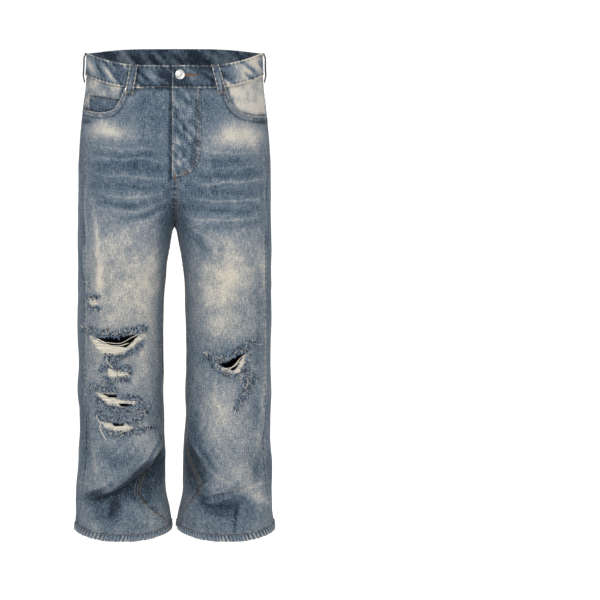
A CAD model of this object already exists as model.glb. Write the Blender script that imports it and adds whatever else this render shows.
"""Ripped wide-leg jeans: the visual model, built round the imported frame.

The shape is worked out in millimetres, in the frame's own axes, and scaled when a mesh is made.
The front faces -Y, the wearer's left is +X, and the origin is the middle of the waist.
"""

import math

import bpy
import numpy as np
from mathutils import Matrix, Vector
from mathutils.bvhtree import BVHTree


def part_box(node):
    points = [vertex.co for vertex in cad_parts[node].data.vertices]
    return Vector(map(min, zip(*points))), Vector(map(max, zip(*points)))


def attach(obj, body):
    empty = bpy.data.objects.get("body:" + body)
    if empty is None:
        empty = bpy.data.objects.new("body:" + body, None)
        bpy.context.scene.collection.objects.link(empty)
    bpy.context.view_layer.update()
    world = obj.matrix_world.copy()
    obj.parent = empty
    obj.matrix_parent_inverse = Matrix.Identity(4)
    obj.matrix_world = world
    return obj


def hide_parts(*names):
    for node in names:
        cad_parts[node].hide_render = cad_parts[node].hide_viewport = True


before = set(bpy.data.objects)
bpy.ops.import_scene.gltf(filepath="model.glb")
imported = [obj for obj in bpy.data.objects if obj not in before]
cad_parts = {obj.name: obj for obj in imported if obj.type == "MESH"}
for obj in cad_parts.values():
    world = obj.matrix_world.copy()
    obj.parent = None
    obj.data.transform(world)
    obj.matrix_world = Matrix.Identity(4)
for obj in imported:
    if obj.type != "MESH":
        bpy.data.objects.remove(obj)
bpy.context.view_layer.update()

bl_info = {
    "name": "Ripped Jeans",
    "version": (1, 0, 0),
    "blender": (4, 5, 0),
    "location": "View3D > Sidebar > Jeans",
    "description": "Builds a pair of faded, ripped, wide-leg jeans round a packed frame",
    "category": "Add Mesh",
}

MM = 0.001
SIDES = {"left": 1, "right": -1}
FRONTS = ["front_panel_left", "front_panel_right"]

# ---- The cut: the same curves through stations as the frame's solids ----
WAISTBAND_HEIGHT = 47.0
BAND_HALF = 1.5
WAIST_DIP_FRONT, WAIST_RISE_BACK = 28.0, 12.0
WAIST_LEVEL = -WAISTBAND_HEIGHT / 2
TILT_ENDS = -230.0
CROTCH = -336.0
SCOOPS = {True: 95.0, False: 130.0}
SCOOP_SOFTNESS = 1.9
HEM_EDGE, HEM_HEIGHT, HEM_WAVE, HEM_WAVE_STARTS = -978.0, 14.0, 7.0, -880.0
SQUARENESS = 2.3
LEG_RADIUS = 95.0
YOKE_AT_SIDE, YOKE_AT_CENTRE = -66.0, -86.0
# How far up under the waistband the cloth runs, and how far its rows of stitches lie from its middle.
UNDER_BAND, BAND_STITCH = -19.0, 20.3


def through(*stations):
    """A smooth curve through (height, value) stations, from the top down, that never overshoots them."""
    h = np.array([-s[0] for s in stations], float)
    v = np.array([s[1] for s in stations], float)
    rise = np.diff(v) / np.diff(h)
    slopes = np.empty_like(v)
    slopes[0], slopes[-1] = rise[0], rise[-1]
    a, b = rise[:-1], rise[1:]
    total = np.where(np.abs(a + b) < 1e-12, 1.0, a + b)
    slopes[1:-1] = np.where(a * b <= 0, 0.0, 2 * a * b / total)

    def curve(z):
        at = np.clip(-np.asarray(z, float), h[0], h[-1])
        i = np.clip(np.searchsorted(h, at, side="right") - 1, 0, len(h) - 2)
        span = h[i + 1] - h[i]
        t = (at - h[i]) / span
        before = v[i] * (1 + 2 * t) * (1 - t) ** 2 + slopes[i] * span * t * (1 - t) ** 2
        after = v[i + 1] * t * t * (3 - 2 * t) - slopes[i + 1] * span * t * t * (1 - t)
        return before + after

    return curve


outer_x = through((60, 181), (0, 182), (-40, 184), (-90, 190), (-150, 196), (-220, 200), (-336, 201),
                  (-500, 203), (-700, 202), (-850, 205), (-930, 206), (-985, 215))
centre_x = through((60, 52), (0, 54), (-90, 64), (-220, 88), (-336, 100), (-500, 112), (-850, 112),
                   (-985, 109))
inner_x = through((-336, 0.15), (-343, 5), (-363, 9), (-405, 15), (-490, 22), (-560, 24), (-700, 23),
                  (-800, 20), (-890, 17), (-930, 11), (-985, 3))
front_y = through((60, 82), (0, 87), (-40, 93), (-90, 101), (-150, 107), (-220, 110), (-336, 107),
                  (-500, 96), (-700, 88), (-850, 86), (-985, 90))
back_y = through((60, 84), (0, 91), (-40, 103), (-90, 121), (-150, 134), (-220, 135), (-336, 118),
                 (-500, 100), (-700, 93), (-985, 92))
outseam_turn = through((60, 0), (-40, 0), (-110, 7), (-220, 24), (-340, 34), (-500, 38), (-800, 38),
                       (-900, 30), (-985, 14))
inseam_turn = {
    "left": through((-336, 180), (-420, 172), (-700, 168), (-800, 165), (-850, 138), (-872, 126),
                    (-895, 138), (-925, 154), (-985, 176)),
    "right": through((-336, 180), (-420, 172), (-700, 168), (-780, 163), (-820, 143), (-855, 120),
                     (-885, 112), (-920, 127), (-950, 152), (-985, 176)),
}

# The largest folds, low on the legs: lines of (bearing in degrees from the front, height), with how
# far the cloth stands out above the line, how far it sinks below it, and how far that reaches.
LEG_FOLDS = {
    "right": [
        ([(-50, -908), (-2, -873), (29, -838), (50, -817), (68, -797)], 12, 13, 17),
        ([(-44, -690), (-43, -780), (-38, -838), (-36, -880)], 4, 5, 16),
        ([(166, -846), (128, -822), (114, -790)], 3, 5, 18),
        ([(-164, -944), (-138, -925), (-116, -905)], 8, 8, 14),
    ],
    "left": [
        ([(-64, -776), (-42, -812), (-14, -856)], 6, 11, 18),
        ([(-40, -910), (-6, -900), (40, -880)], 10, 9, 17),
        ([(56, -690), (52, -760), (34, -850), (30, -890)], 4, 5, 16),
        ([(-148, -858), (174, -899)], 8, 8, 16),
        ([(116, -912), (138, -922), (170, -928)], 9, 9, 14),
    ],
}


def smoothstep(value, low, high):
    t = np.clip((np.asarray(value, float) - low) / (high - low), 0, 1)
    return t * t * (3 - 2 * t)


def bell(distance, width):
    """1 at no distance, fading smoothly to nothing within about two widths."""
    return np.exp(-((distance / width) ** 2))


def unit(vectors):
    return vectors / np.maximum(np.linalg.norm(vectors, axis=-1, keepdims=True), 1e-9)


def wrap(turn):
    return (turn + 180) % 360 - 180


def leg_folds(side, bearing, z):
    """How far the largest folds move the cloth outwards."""
    moved = np.zeros(np.broadcast(bearing, z).shape)
    scale = LEG_RADIUS * math.pi / 180
    for line, lip, trough, reach in LEG_FOLDS[side]:
        # In front and behind, the folds sit a little higher than their lines say.
        line = [(b, h + 13 * abs(math.cos(math.radians(b)))) for b, h in line]
        pieces = len(line) - 1
        away = np.full(moved.shape, np.inf)
        along, above = np.zeros(moved.shape), np.zeros(moved.shape, bool)
        for i in range(pieces):
            px, pz = wrap(bearing - line[i][0]) * scale, z - line[i][1]
            dx = wrap(line[i + 1][0] - line[i][0]) * scale
            dz = line[i + 1][1] - line[i][1]
            t = np.clip((px * dx + pz * dz) / (dx * dx + dz * dz), 0, 1)
            d = np.hypot(px - t * dx, pz - t * dz)
            closer = d < away
            away = np.where(closer, d, away)
            along = np.where(closer, (i + t) / pieces, along)
            above = np.where(closer, (dx * pz - dz * px >= 0) == (dx >= 0), above)
        ends = np.sin(np.pi * np.clip(along, 0, 1)) ** 0.7
        swell = away / reach * np.exp(1 - away / reach)
        moved += ends * swell * np.where(above, lip, -trough)
    return np.where(z > -660, 0.0, moved)


def surface(side, turn, z):
    """The outside of the cloth at turns and heights.

    Turns are degrees: 0 the outer side, 90 the front, 180 the inner side, -90 the back."""
    turn, z = np.broadcast_arrays(np.asarray(turn, float), np.asarray(z, float))
    angle = np.radians(np.where(np.abs(turn) <= 180, turn, wrap(turn)))
    across, in_front = np.cos(angle), angle >= 0
    depth = np.where(in_front, front_y(z), back_y(z))
    centre = centre_x(z)
    inner = np.where(z > CROTCH, 0.15, inner_x(z))

    def power(value):
        return np.maximum(value, 0) ** (2 / SQUARENESS)

    scoop = np.where(in_front, SCOOPS[True], SCOOPS[False])
    merged = 1 - np.clip((z - CROTCH) / scoop, 0, 1) ** SCOOP_SOFTNESS
    share = power(-across)
    outside = across >= 0
    x = np.where(outside, centre + (outer_x(z) - centre) * power(across), centre - (centre - inner) * share)
    pinched = np.maximum(0, 1 - (merged * share) ** SQUARENESS) ** (1 / SQUARENESS)
    y = depth * np.where(outside, power(np.abs(np.sin(angle))), pinched)
    fx, fy = x - centre, np.where(in_front, -y, y)
    bearing = np.degrees(np.arctan2(SIDES[side] * fx, -fy))
    length = np.maximum(np.hypot(fx, fy), 1e-6)
    grow = 1 + leg_folds(side, bearing, z) / length
    return np.stack([SIDES[side] * (centre + fx * grow), fy * grow, z], -1)


def waist_tilt(turn):
    lean = np.sin(np.radians(np.clip(turn, -90, 90))) ** 2
    return np.where(np.asarray(turn) > 0, -WAIST_DIP_FRONT, WAIST_RISE_BACK) * lean


def height_at(side, turn, level):
    """The height of a level: tilted with the waistline at the top, waved at the hem."""
    tilt = smoothstep(level, TILT_ENDS, WAIST_LEVEL)
    wave = 1 - smoothstep(level, HEM_EDGE, HEM_WAVE_STARTS)
    bearing = np.radians(bearing_of(side, turn))
    # The tilt of the waistline turns with the body, so wrapped turns count as their own.
    own = np.where(np.abs(turn) <= 180, turn, wrap(turn))
    return level + tilt * waist_tilt(own) - wave * HEM_WAVE * np.cos(2 * bearing)


# ---- Lines, and how far cloth lies from them ----
def near(px, pz, line):
    """Signed distance from a line, positive on the left of its way, and the share of the way along it."""
    points = np.array(line, float)
    steps = np.diff(points, axis=0)
    lengths = np.hypot(steps[:, 0], steps[:, 1])
    start = np.concatenate([[0], np.cumsum(lengths)])
    best = np.full(px.shape, np.inf)
    sign, along = np.ones(px.shape), np.zeros(px.shape)
    for i, (dx, dz) in enumerate(steps):
        qx, qz = px - points[i, 0], pz - points[i, 1]
        t = np.clip((qx * dx + qz * dz) / lengths[i] ** 2, 0, 1)
        d = np.hypot(qx - t * dx, qz - t * dz)
        closer = d < best
        best = np.where(closer, d, best)
        sign = np.where(closer, np.where(dx * qz - dz * qx >= 0, 1, -1), sign)
        along = np.where(closer, (start[i] + t * lengths[i]) / start[-1], along)
    return best * sign, along


def inside(px, pz, polygon):
    """Which points lie inside a polygon."""
    hit = np.zeros(px.shape, bool)
    for (ax, az), (bx, bz) in zip(polygon, polygon[1:] + polygon[:1]):
        if az == bz:
            continue
        crosses = (az > pz) != (bz > pz)
        hit ^= crosses & (px < (bx - ax) * (pz - az) / (bz - az) + ax)
    return hit


def from_edge(px, pz, polygon):
    """Signed distance from a polygon's edge, positive inside."""
    d = np.abs(near(px, pz, polygon + polygon[:1])[0])
    return np.where(inside(px, pz, polygon), d, -d)


def close_to(x, z, line, reach):
    """Which points lie in the box round a line, widened by the reach."""
    low, high = np.min(line, 0) - reach, np.max(line, 0) + reach
    return (x > low[0]) & (x < high[0]) & (z > low[1]) & (z < high[1])


def onto_outline(x, z, outline):
    """The place on a closed outline nearest to each point, and how far away it is."""
    loop = np.array(outline + outline[:1], float)
    place, best = np.stack([x, z], -1), np.full(x.shape, np.inf)
    for a, b in zip(loop[:-1], loop[1:]):
        d = b - a
        share = np.clip(((x - a[0]) * d[0] + (z - a[1]) * d[1]) / max(d @ d, 1e-9), 0, 1)
        foot = a + share[..., None] * d
        away = np.hypot(foot[..., 0] - x, foot[..., 1] - z)
        closer = away < best
        best = np.where(closer, away, best)
        place = np.where(closer[..., None], foot, place)
    return place, best


def noise2(u, v, scale, seed):
    """Smooth value noise from -1 to 1, with features of that size."""
    rng = np.random.default_rng(seed)
    table = rng.uniform(-1, 1, (64, 64))
    x, y = np.asarray(u) / scale, np.asarray(v) / scale
    i, j = np.floor(x).astype(int), np.floor(y).astype(int)
    fx, fy = x - i, y - j
    fx, fy = fx * fx * (3 - 2 * fx), fy * fy * (3 - 2 * fy)
    a, b = table[i % 64, j % 64], table[(i + 1) % 64, j % 64]
    c, d = table[i % 64, (j + 1) % 64], table[(i + 1) % 64, (j + 1) % 64]
    return (a * (1 - fx) + b * fx) * (1 - fy) + (c * (1 - fx) + d * fx) * fy


# ---- Creases placed by hand, as (x, z) lines on the front or the back ----
# Each is (line, lip, trough, reach, edge, droop). The lip stands out on the left of the line's way,
# the trough sinks on its right, and the change between them is `edge` wide. With no edge, the line
# is a soft ridge (lip) or dent (trough).
CREASES = {
    "front": [
        ([(-196, -912), (-133, -890), (-98, -871), (-63, -847), (-28, -803), (-16, -765)], 6, 7, 13, 2.2, 7),
        ([(-114, -895), (-134, -948), (-164, -953), (-182, -908)], 2, 5, 11, 5, 0),
        ([(-184, -600), (-188, -700), (-190, -790)], 2.4, 2, 10, 4, 0),
        ([(-150, -870), (-100, -912), (-60, -935), (-30, -968)], 3, 0, 16, 0, 0),
        ([(-200, -935), (-176, -962), (-150, -975)], 2, 0, 9, 0, 0),
        ([(-90, -640), (-70, -730), (-60, -800)], 3, 0, 26, 0, 0),
        ([(-160, -800), (-120, -826), (-80, -830)], 0, 2.5, 14, 0, 0),
        ([(84, -850), (50, -800), (27, -730)], 5, 6, 12, 2.5, 4),
        ([(154, -886), (100, -902), (62, -910), (40, -896)], 5, 6, 12, 2.5, 5),
        ([(142, -915), (126, -950), (72, -940), (48, -912)], 2, 5, 10, 4, 0),
        ([(124, -948), (131, -980)], 3, 3, 7, 2, 0),
        ([(139, -893), (172, -903), (205, -916)], 4, 0, 9, 0, 0),
        ([(186, -600), (190, -760), (182, -880)], 3, 0, 9, 0, 0),
        ([(172, -700), (160, -790), (168, -870)], 0, 3, 12, 0, 0),
        ([(120, -660), (118, -740), (128, -800)], 2.5, 0, 26, 0, 0),
        ([(-168, -204), (-106, -201), (-40, -213), (-8, -212)], 0, 1.6, 9, 0, 0),
        ([(-160, -222), (-90, -226), (-20, -240)], 1.4, 0, 7, 0, 0),
        ([(-149, -284), (-111, -288), (-63, -297)], 0, 1.8, 8, 0, 0),
        ([(-170, -256), (-100, -262), (-30, -272)], 1.3, 0, 8, 0, 0),
        ([(-120, -352), (-60, -334), (-14, -296)], 1.8, 0, 8, 0, 0),
        ([(-105, -330), (-50, -312), (-12, -272)], 0, 1.5, 8, 0, 0),
        ([(60, -217), (114, -209), (183, -222)], 0, 1.5, 8, 0, 0),
        ([(39, -262), (103, -266), (183, -258)], 1.4, 0, 7, 0, 0),
        ([(39, -290), (103, -278), (172, -287)], 0, 1.8, 8, 0, 0),
        ([(24, -336), (92, -314), (178, -303)], 1.6, 0, 8, 0, 0),
        ([(14, -300), (60, -340), (120, -372)], 1.8, 0, 9, 0, 0),
        ([(12, -320), (44, -366), (90, -410)], 0, 1.6, 10, 0, 0),
        ([(2, -232), (14, -262), (6, -300)], 2, 0, 8, 0, 0),
        ([(-170, -287), (-157, -399), (-160, -490)], 2.4, 0, 7, 0, 0),
        ([(176, -300), (184, -420), (186, -560)], 2, 0, 7, 0, 0),
        ([(-120, -108), (-90, -150), (-60, -180)], 1.2, 0, 9, 0, 0),
        ([(116, -110), (90, -150), (70, -190)], 1.2, 0, 9, 0, 0),
    ],
    "back": [
        ([(40, -856), (74, -878), (112, -902)], 5, 7, 11, 2.2, 5),
        ([(124, -948), (143, -929), (172, -915), (203, -904)], 6, 4, 10, 2.5, 0),
        ([(175, -278), (165, -366), (150, -464), (132, -573)], 2.6, 1.5, 8, 3, 0),
        ([(-108, -835), (-140, -826), (-166, -804), (-202, -722)], 6, 7, 12, 2.2, 5),
        ([(-138, -948), (-170, -922), (-204, -897)], 5, 5, 10, 2.4, 0),
        ([(-59, -532), (-72, -640), (-90, -732), (-111, -763), (-165, -806)], 2.5, 2, 9, 3, 0),
        ([(-174, -419), (-139, -481), (-116, -530)], 2.4, 0, 7, 0, 0),
        ([(150, -640), (112, -700), (104, -790)], 3, 0, 22, 0, 0),
        ([(60, -700), (60, -790), (44, -850)], 0, 3, 16, 0, 0),
        ([(-40, -700), (-44, -800), (-70, -900)], 2.4, 0, 14, 0, 0),
        ([(-70, -880), (-110, -900), (-130, -960)], 0, 2.6, 12, 0, 0),
        ([(20, -330), (60, -360), (120, -372)], 0, 3, 14, 0, 0),
        ([(14, -300), (60, -326), (130, -340)], 2, 0, 12, 0, 0),
        ([(-20, -330), (-60, -358), (-84, -372)], 0, 3, 14, 0, 0),
        ([(-92, -556), (-140, -550), (-184, -560)], 1.5, 0, 6, 0, 0),
        ([(-88, -588), (-136, -580), (-186, -586)], 1.5, 0, 6, 0, 0),
        ([(-92, -618), (-140, -610), (-186, -612)], 1.7, 0, 6, 0, 0),
        ([(-96, -646), (-140, -640), (-188, -644)], 1.7, 0, 6, 0, 0),
        ([(-98, -672), (-140, -668), (-190, -668)], 1.7, 0, 6, 0, 0),
        ([(-104, -700), (-146, -696), (-190, -690)], 1.4, 0, 6, 0, 0),
        ([(80, -600), (140, -590), (188, -600)], 1.3, 0, 6, 0, 0),
        ([(90, -640), (140, -636), (190, -650)], 1.3, 0, 6, 0, 0),
        ([(40, -930), (80, -952), (110, -974)], 2, 0, 9, 0, 0),
    ],
}


def creases(points, atlas):
    """Outward and downward moves of the hand-placed creases, and how their ridges and valleys wear."""
    x, z = points[..., 0], points[..., 2]
    out, down, wear = np.zeros(x.shape), np.zeros(x.shape), np.zeros(x.shape)
    for line, lip, trough, reach, edge, droop in CREASES[atlas]:
        m = close_to(x, z, line, 4 * reach)
        if not m.any():
            continue
        d, along = near(x[m], z[m], line)
        ends = np.sin(np.pi * np.clip(along, 0, 1)) ** 0.6
        a = np.abs(d)
        if edge:
            rise = np.tanh(a / edge) * np.exp(-a / reach)
            up = np.where(d >= 0, rise, 0) * lip
            sunk = np.where(d < 0, rise, 0) * trough
            out[m] += ends * (up - sunk)
            down[m] += ends * np.where(d >= 0, rise, 0) * droop
            wear[m] += ends * (0.022 * up - 0.045 * sunk)
        else:
            bump = bell(a, reach)
            out[m] += ends * bump * (lip - trough)
            wear[m] += ends * bump * 0.05 * (lip - trough)
    return out, down, wear


# ---- Wear placed by hand: soft patches as (x, z, half width, half height, lighter, creamier, tilt) ----
BLOBS = {
    "front": [
        # The hips: cream above the whiskers.
        (-150, -132, 38, 17, 0.30, 0.5, -6), (-112, -142, 46, 15, 0.16, 0.4, -8),
        (-176, -150, 14, 18, 0.12, 0.3, 0), (132, -142, 52, 24, 0.50, 0.5, 8),
        (165, -160, 20, 18, 0.20, 0.5, 0), (95, -165, 40, 16, 0.10, 0.3, 0),
        # The blue ground of the whiskers, the fly and the crotch.
        (-105, -232, 112, 58, -0.13, 0, 0), (102, -270, 112, 60, -0.09, 0, 0),
        (-45, -100, 44, 62, -0.10, 0, 0), (76, -104, 27, 43, -0.08, 0, 0), (0, -292, 26, 50, -0.26, 0, 0),
        (-12, -350, 16, 62, -0.14, 0, 0), (17, -370, 13, 62, -0.14, 0, 0),
        # The thighs.
        (-112, -405, 62, 90, 0.32, 0.5, 0), (-150, -430, 26, 80, 0.08, 0.6, 0),
        (-105, -505, 62, 46, 0.16, 0.5, 0), (130, -425, 46, 82, 0.38, 0.5, 0),
        (-50, -455, 24, 84, 0.24, 0.4, 0), (108, -540, 62, 40, 0.18, 0.6, 0),
        (84, -455, 34, 74, 0.28, 0.4, 0),
        # The knees and shins.
        (-130, -600, 60, 74, 0.26, 0.7, 0), (-62, -600, 26, 66, 0.16, 0.4, 0),
        (98, -665, 46, 62, 0.08, 0.5, 0), (86, -745, 32, 56, 0.14, 0.4, 0),
        (160, -745, 26, 105, 0.12, 0.2, 0), (130, -850, 42, 46, 0.12, 0.4, 0),
        (172, -888, 26, 26, 0.14, 0.3, 0), (-172, -822, 20, 32, 0.08, 0.1, 0),
        # The dark inner and outer sides of the legs.
        (16, -570, 9, 150, -0.16, 0, 0), (-27, -590, 8, 160, -0.16, 0, 0),
        (28, -736, 15, 86, -0.15, 0, 0), (-193, -640, 10, 205, -0.14, 0, 0),
        (197, -640, 11, 215, -0.16, 0, 0), (-194, -370, 7, 140, -0.18, 0, 0),
        (198, -320, 9, 130, -0.15, 0, 0),
        # The valleys over the ankles.
        (-148, -898, 40, 9, -0.50, 0, 14), (-126, -934, 11, 24, -0.36, 0, -18),
        (30, -806, 12, 36, -0.30, 0, 0), (100, -740, 40, 60, 0.04, 0.2, 0),
        (38, -845, 17, 40, -0.40, 0, 0), (60, -906, 12, 32, -0.18, 0, -20),
        (104, -926, 34, 9, -0.12, 0, -14), (-66, -890, 34, 34, -0.31, 0, 0),
        (-26, -825, 12, 62, -0.16, 0, 0), (-100, -835, 60, 30, -0.14, 0, 0),
        (-122, -913, 9, 12, -0.20, 0, 0), (56, -868, 12, 30, -0.26, 0, -24),
        (-204, -950, 8, 16, -0.14, 0, 0), (211, -950, 7, 16, -0.14, 0, 0),
    ],
    "back": [
        (140, -230, 42, 40, 0.26, 0.5, 0), (155, -266, 20, 20, 0.08, 0.4, 0),
        (-118, -245, 46, 32, 0.20, 0.4, 0), (-66, -262, 32, 52, 0.18, 0.6, 0),
        (-74, -330, 32, 32, 0.16, 0.5, 0), (44, -235, 36, 42, 0.12, 0.2, 0),
        (58, -290, 32, 32, 0.12, 0.4, 0), (130, -320, 58, 36, 0.22, 0.6, 0),
        (134, -400, 32, 68, 0.20, 0.6, 0), (156, -352, 20, 46, 0.10, 0.6, 0),
        (58, -395, 32, 78, 0.10, 0.2, 0), (-134, -305, 56, 32, 0.14, 0.4, 0),
        (-86, -460, 36, 62, 0.08, 0.2, 0), (107, -352, 15, 52, -0.08, 0, 0),
        (-54, -405, 15, 62, -0.08, 0, 0), (-3, -244, 9, 64, -0.18, 0, 0), (15, -200, 10, 58, -0.16, 0, 0),
        (-20, -200, 9, 54, -0.16, 0, 0), (-3, -320, 20, 26, -0.20, 0, 0),
        (192, -245, 10, 85, -0.14, 0, 0), (183, -430, 15, 85, -0.14, 0, 0),
        (-193, -292, 12, 95, -0.12, 0, 0), (128, -704, 40, 84, 0.22, 0.5, 0),
        (130, -645, 36, 20, 0.10, 0.6, 0), (166, -620, 30, 20, 0.08, 0.4, 0),
        (32, -640, 14, 105, -0.12, 0, 0), (-140, -728, 52, 42, 0.20, 0.6, 0),
        (-100, -748, 26, 32, 0.12, 0.6, 0), (-38, -586, 12, 128, -0.12, 0, 0),
        (-188, -780, 15, 32, -0.14, 0, 0), (-160, -843, 32, 14, -0.16, 0, 0),
        (176, -908, 27, 9, -0.22, 0, -10), (138, -925, 32, 10, -0.20, 0, 12),
        (100, -925, 42, 15, -0.10, 0, 0), (-33, -822, 11, 54, -0.12, 0, 0),
        (-135, -925, 32, 14, 0.08, 0.2, 0), (95, -330, 76, 96, 0.20, 0.4, 0),
        (-100, -310, 66, 84, 0.18, 0.4, 0), (110, -500, 60, 110, 0.12, 0.3, 0),
        (-95, -480, 56, 90, 0.12, 0.2, 0), (-120, -700, 60, 90, 0.08, 0.2, 0),
        (110, -720, 56, 100, 0.14, 0.3, 0), (136, -222, 40, 44, 0.16, 0.4, 0),
        (-118, -232, 46, 34, 0.10, 0.4, 0), (60, -60, 90, 30, 0.06, 0.2, 0),
    ],
}

# Strokes as (line of (x, z), width, lighter, creamier).
STROKES = {
    "front": [
        # Whiskers of the wearer's right hip, light ridges between broad blue valleys.
        ([(-168, -172), (-122, -176), (-68, -174), (-22, -180)], 3, 0.12, 0.2),
        ([(-165, -184), (-112, -188), (-50, -186)], 4, -0.10, 0),
        ([(-176, -192), (-122, -196), (-64, -196), (-14, -202)], 2.6, 0.14, 0.3),
        ([(-178, -208), (-132, -212), (-80, -214), (-20, -210)], 8, -0.06, 0),
        ([(-170, -226), (-118, -232), (-64, -235), (-14, -232)], 2.6, 0.15, 0.3),
        ([(-172, -245), (-122, -254), (-64, -258), (-24, -252)], 7, -0.13, 0),
        ([(-160, -266), (-112, -273), (-58, -275), (-18, -265)], 2.6, 0.15, 0.3),
        ([(-160, -282), (-118, -292), (-80, -295), (-42, -284)], 7, -0.17, 0),
        ([(-134, -300), (-80, -305), (-46, -299), (-18, -282)], 2.4, 0.13, 0.2),
        ([(-122, -315), (-80, -318), (-42, -310), (-18, -295)], 5.5, -0.11, 0),
        ([(-90, -330), (-52, -322), (-16, -302)], 2.4, 0.12, 0.2),
        ([(-106, -372), (-58, -356), (-20, -327)], 3.4, 0.08, 0.1),
        ([(-112, -428), (-69, -415), (-26, -375)], 4, 0.08, 0.2),
        ([(-172, -275), (-163, -350), (-157, -430), (-148, -480)], 5, 0.10, 0.6),
        ([(-185, -180), (-186, -276), (-188, -426), (-187, -640), (-189, -800)], 2.4, 0.14, 0.1),
        # Whiskers of the wearer's left hip.
        ([(60, -180), (108, -184), (176, -179)], 3, 0.12, 0.3),
        ([(50, -194), (104, -201), (176, -195)], 4, -0.11, 0),
        ([(56, -212), (104, -217), (180, -208)], 2.6, 0.11, 0.2),
        ([(44, -228), (104, -232), (180, -224)], 5, -0.15, 0),
        ([(38, -243), (92, -247), (145, -242), (183, -236)], 2.6, 0.20, 0.3),
        ([(38, -261), (104, -267), (180, -259)], 7, -0.18, 0),
        ([(34, -280), (80, -287), (135, -282), (177, -276)], 2.6, 0.20, 0.3),
        ([(38, -296), (92, -307), (135, -307), (175, -292)], 7, -0.19, 0),
        ([(28, -314), (60, -325), (108, -325), (175, -313)], 2.4, 0.18, 0.2),
        ([(80, -340), (135, -337), (183, -320)], 5, -0.09, 0),
        ([(20, -327), (50, -348), (92, -372)], 3.4, 0.13, 0.3),
        ([(17, -343), (44, -367), (70, -388)], 4.5, -0.10, 0),
        ([(186, -180), (188, -320), (188, -480), (188, -640), (174, -800)], 2.4, 0.15, 0.1),
        ([(177, -426), (175, -533), (172, -693), (167, -780)], 6, -0.07, 0),
        ([(92, -635), (89, -693), (108, -747)], 5, 0.08, 0.4),
        # Ridges and dark creases over the ankles.
        ([(-182, -850), (-144, -828), (-90, -780)], 3, 0.08, 0.1),
        ([(-186, -894), (-144, -890), (-100, -864), (-60, -824), (-26, -770)], 3.4, -0.30, 0),
        ([(-122, -888), (-96, -862), (-60, -815), (-30, -768)], 2.6, 0.12, 0.2),
        ([(-126, -866), (-154, -886), (-184, -902)], 4, -0.26, 0),
        ([(-112, -900), (-128, -925), (-140, -955)], 3.2, -0.20, 0),
        ([(-58, -830), (-74, -865), (-69, -902), (-26, -945), (-10, -960)], 2.6, -0.20, 0),
        ([(76, -855), (50, -886), (22, -934), (8, -956)], 2.6, -0.14, 0),
        ([(84, -848), (52, -800), (30, -745)], 3, -0.20, 0),
        ([(56, -908), (104, -928), (124, -927)], 3.6, -0.24, 0),
        ([(128, -924), (129, -950), (126, -975)], 2.8, -0.30, 0),
        ([(64, -896), (108, -894), (156, -884), (188, -870)], 3.6, 0.16, 0.3),
        ([(30, -780), (60, -828), (82, -858), (120, -880)], 3, 0.12, 0.2),
    ],
    "back": [
        ([(177, -126), (175, -244), (168, -320), (160, -405), (141, -511), (115, -620)], 2.8, 0.18, 0.5),
        ([(186, -320), (176, -415), (158, -511), (128, -608)], 6, -0.14, 0),
        ([(115, -608), (116, -656), (113, -704)], 3.4, 0.14, 0.5),
        ([(182, -538), (150, -542), (117, -549)], 3, 0.12, 0.4),
        ([(187, -576), (144, -586), (112, -608)], 3.4, 0.14, 0.4),
        ([(192, -604), (150, -608), (117, -620)], 3.4, 0.14, 0.4),
        ([(187, -560), (144, -568)], 3.6, -0.10, 0),
        ([(187, -592), (150, -598)], 3.2, -0.10, 0),
        ([(107, -620), (75, -608), (42, -586)], 3.6, 0.10, 0.3),
        ([(-177, -415), (-150, -458), (-118, -511), (-110, -525)], 3, 0.16, 0.3),
        ([(-161, -426), (-134, -474), (-108, -517)], 7, -0.12, 0),
        ([(-30, -522), (-49, -576), (-73, -635), (-91, -710), (-108, -758), (-129, -790)], 4, 0.16, 0.6),
        ([(-22, -544), (-41, -602), (-65, -661), (-86, -726)], 7, -0.14, 0),
        ([(-199, -710), (-182, -768), (-161, -806), (-124, -827)], 5, -0.20, 0),
        ([(-193, -715), (-177, -763), (-156, -795)], 3, 0.12, 0.3),
        ([(171, -849), (128, -833), (80, -795)], 3.6, 0.10, 0.2),
        ([(150, -876), (112, -870), (64, -838)], 4.4, -0.18, 0),
        ([(198, -886), (166, -908), (133, -924)], 3.2, -0.28, 0),
        ([(176, -902), (144, -908), (96, -892)], 3.4, -0.18, 0),
        ([(107, -918), (75, -902), (48, -870)], 3.6, 0.12, 0.2),
        ([(-204, -876), (-177, -892), (-140, -908)], 3.2, -0.26, 0),
        ([(-201, -886), (-172, -908), (-150, -918)], 3, 0.14, 0.2),
        ([(-65, -779), (-97, -822), (-129, -835)], 4, -0.20, 0),
        ([(-33, -865), (-86, -865), (-140, -833)], 3.6, 0.10, 0.2),
    ],
}
# Small even puckers pulled across the back of the wearer's left knee.
STROKES["back"] += [
    ([(-92, -544 - 16 * i), (-140, -551 - 16 * i), (-190, -542 - 16 * i)], 3.2, -0.13 if i % 2 else 0.10, 0.2)
    for i in range(11)
]

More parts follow.
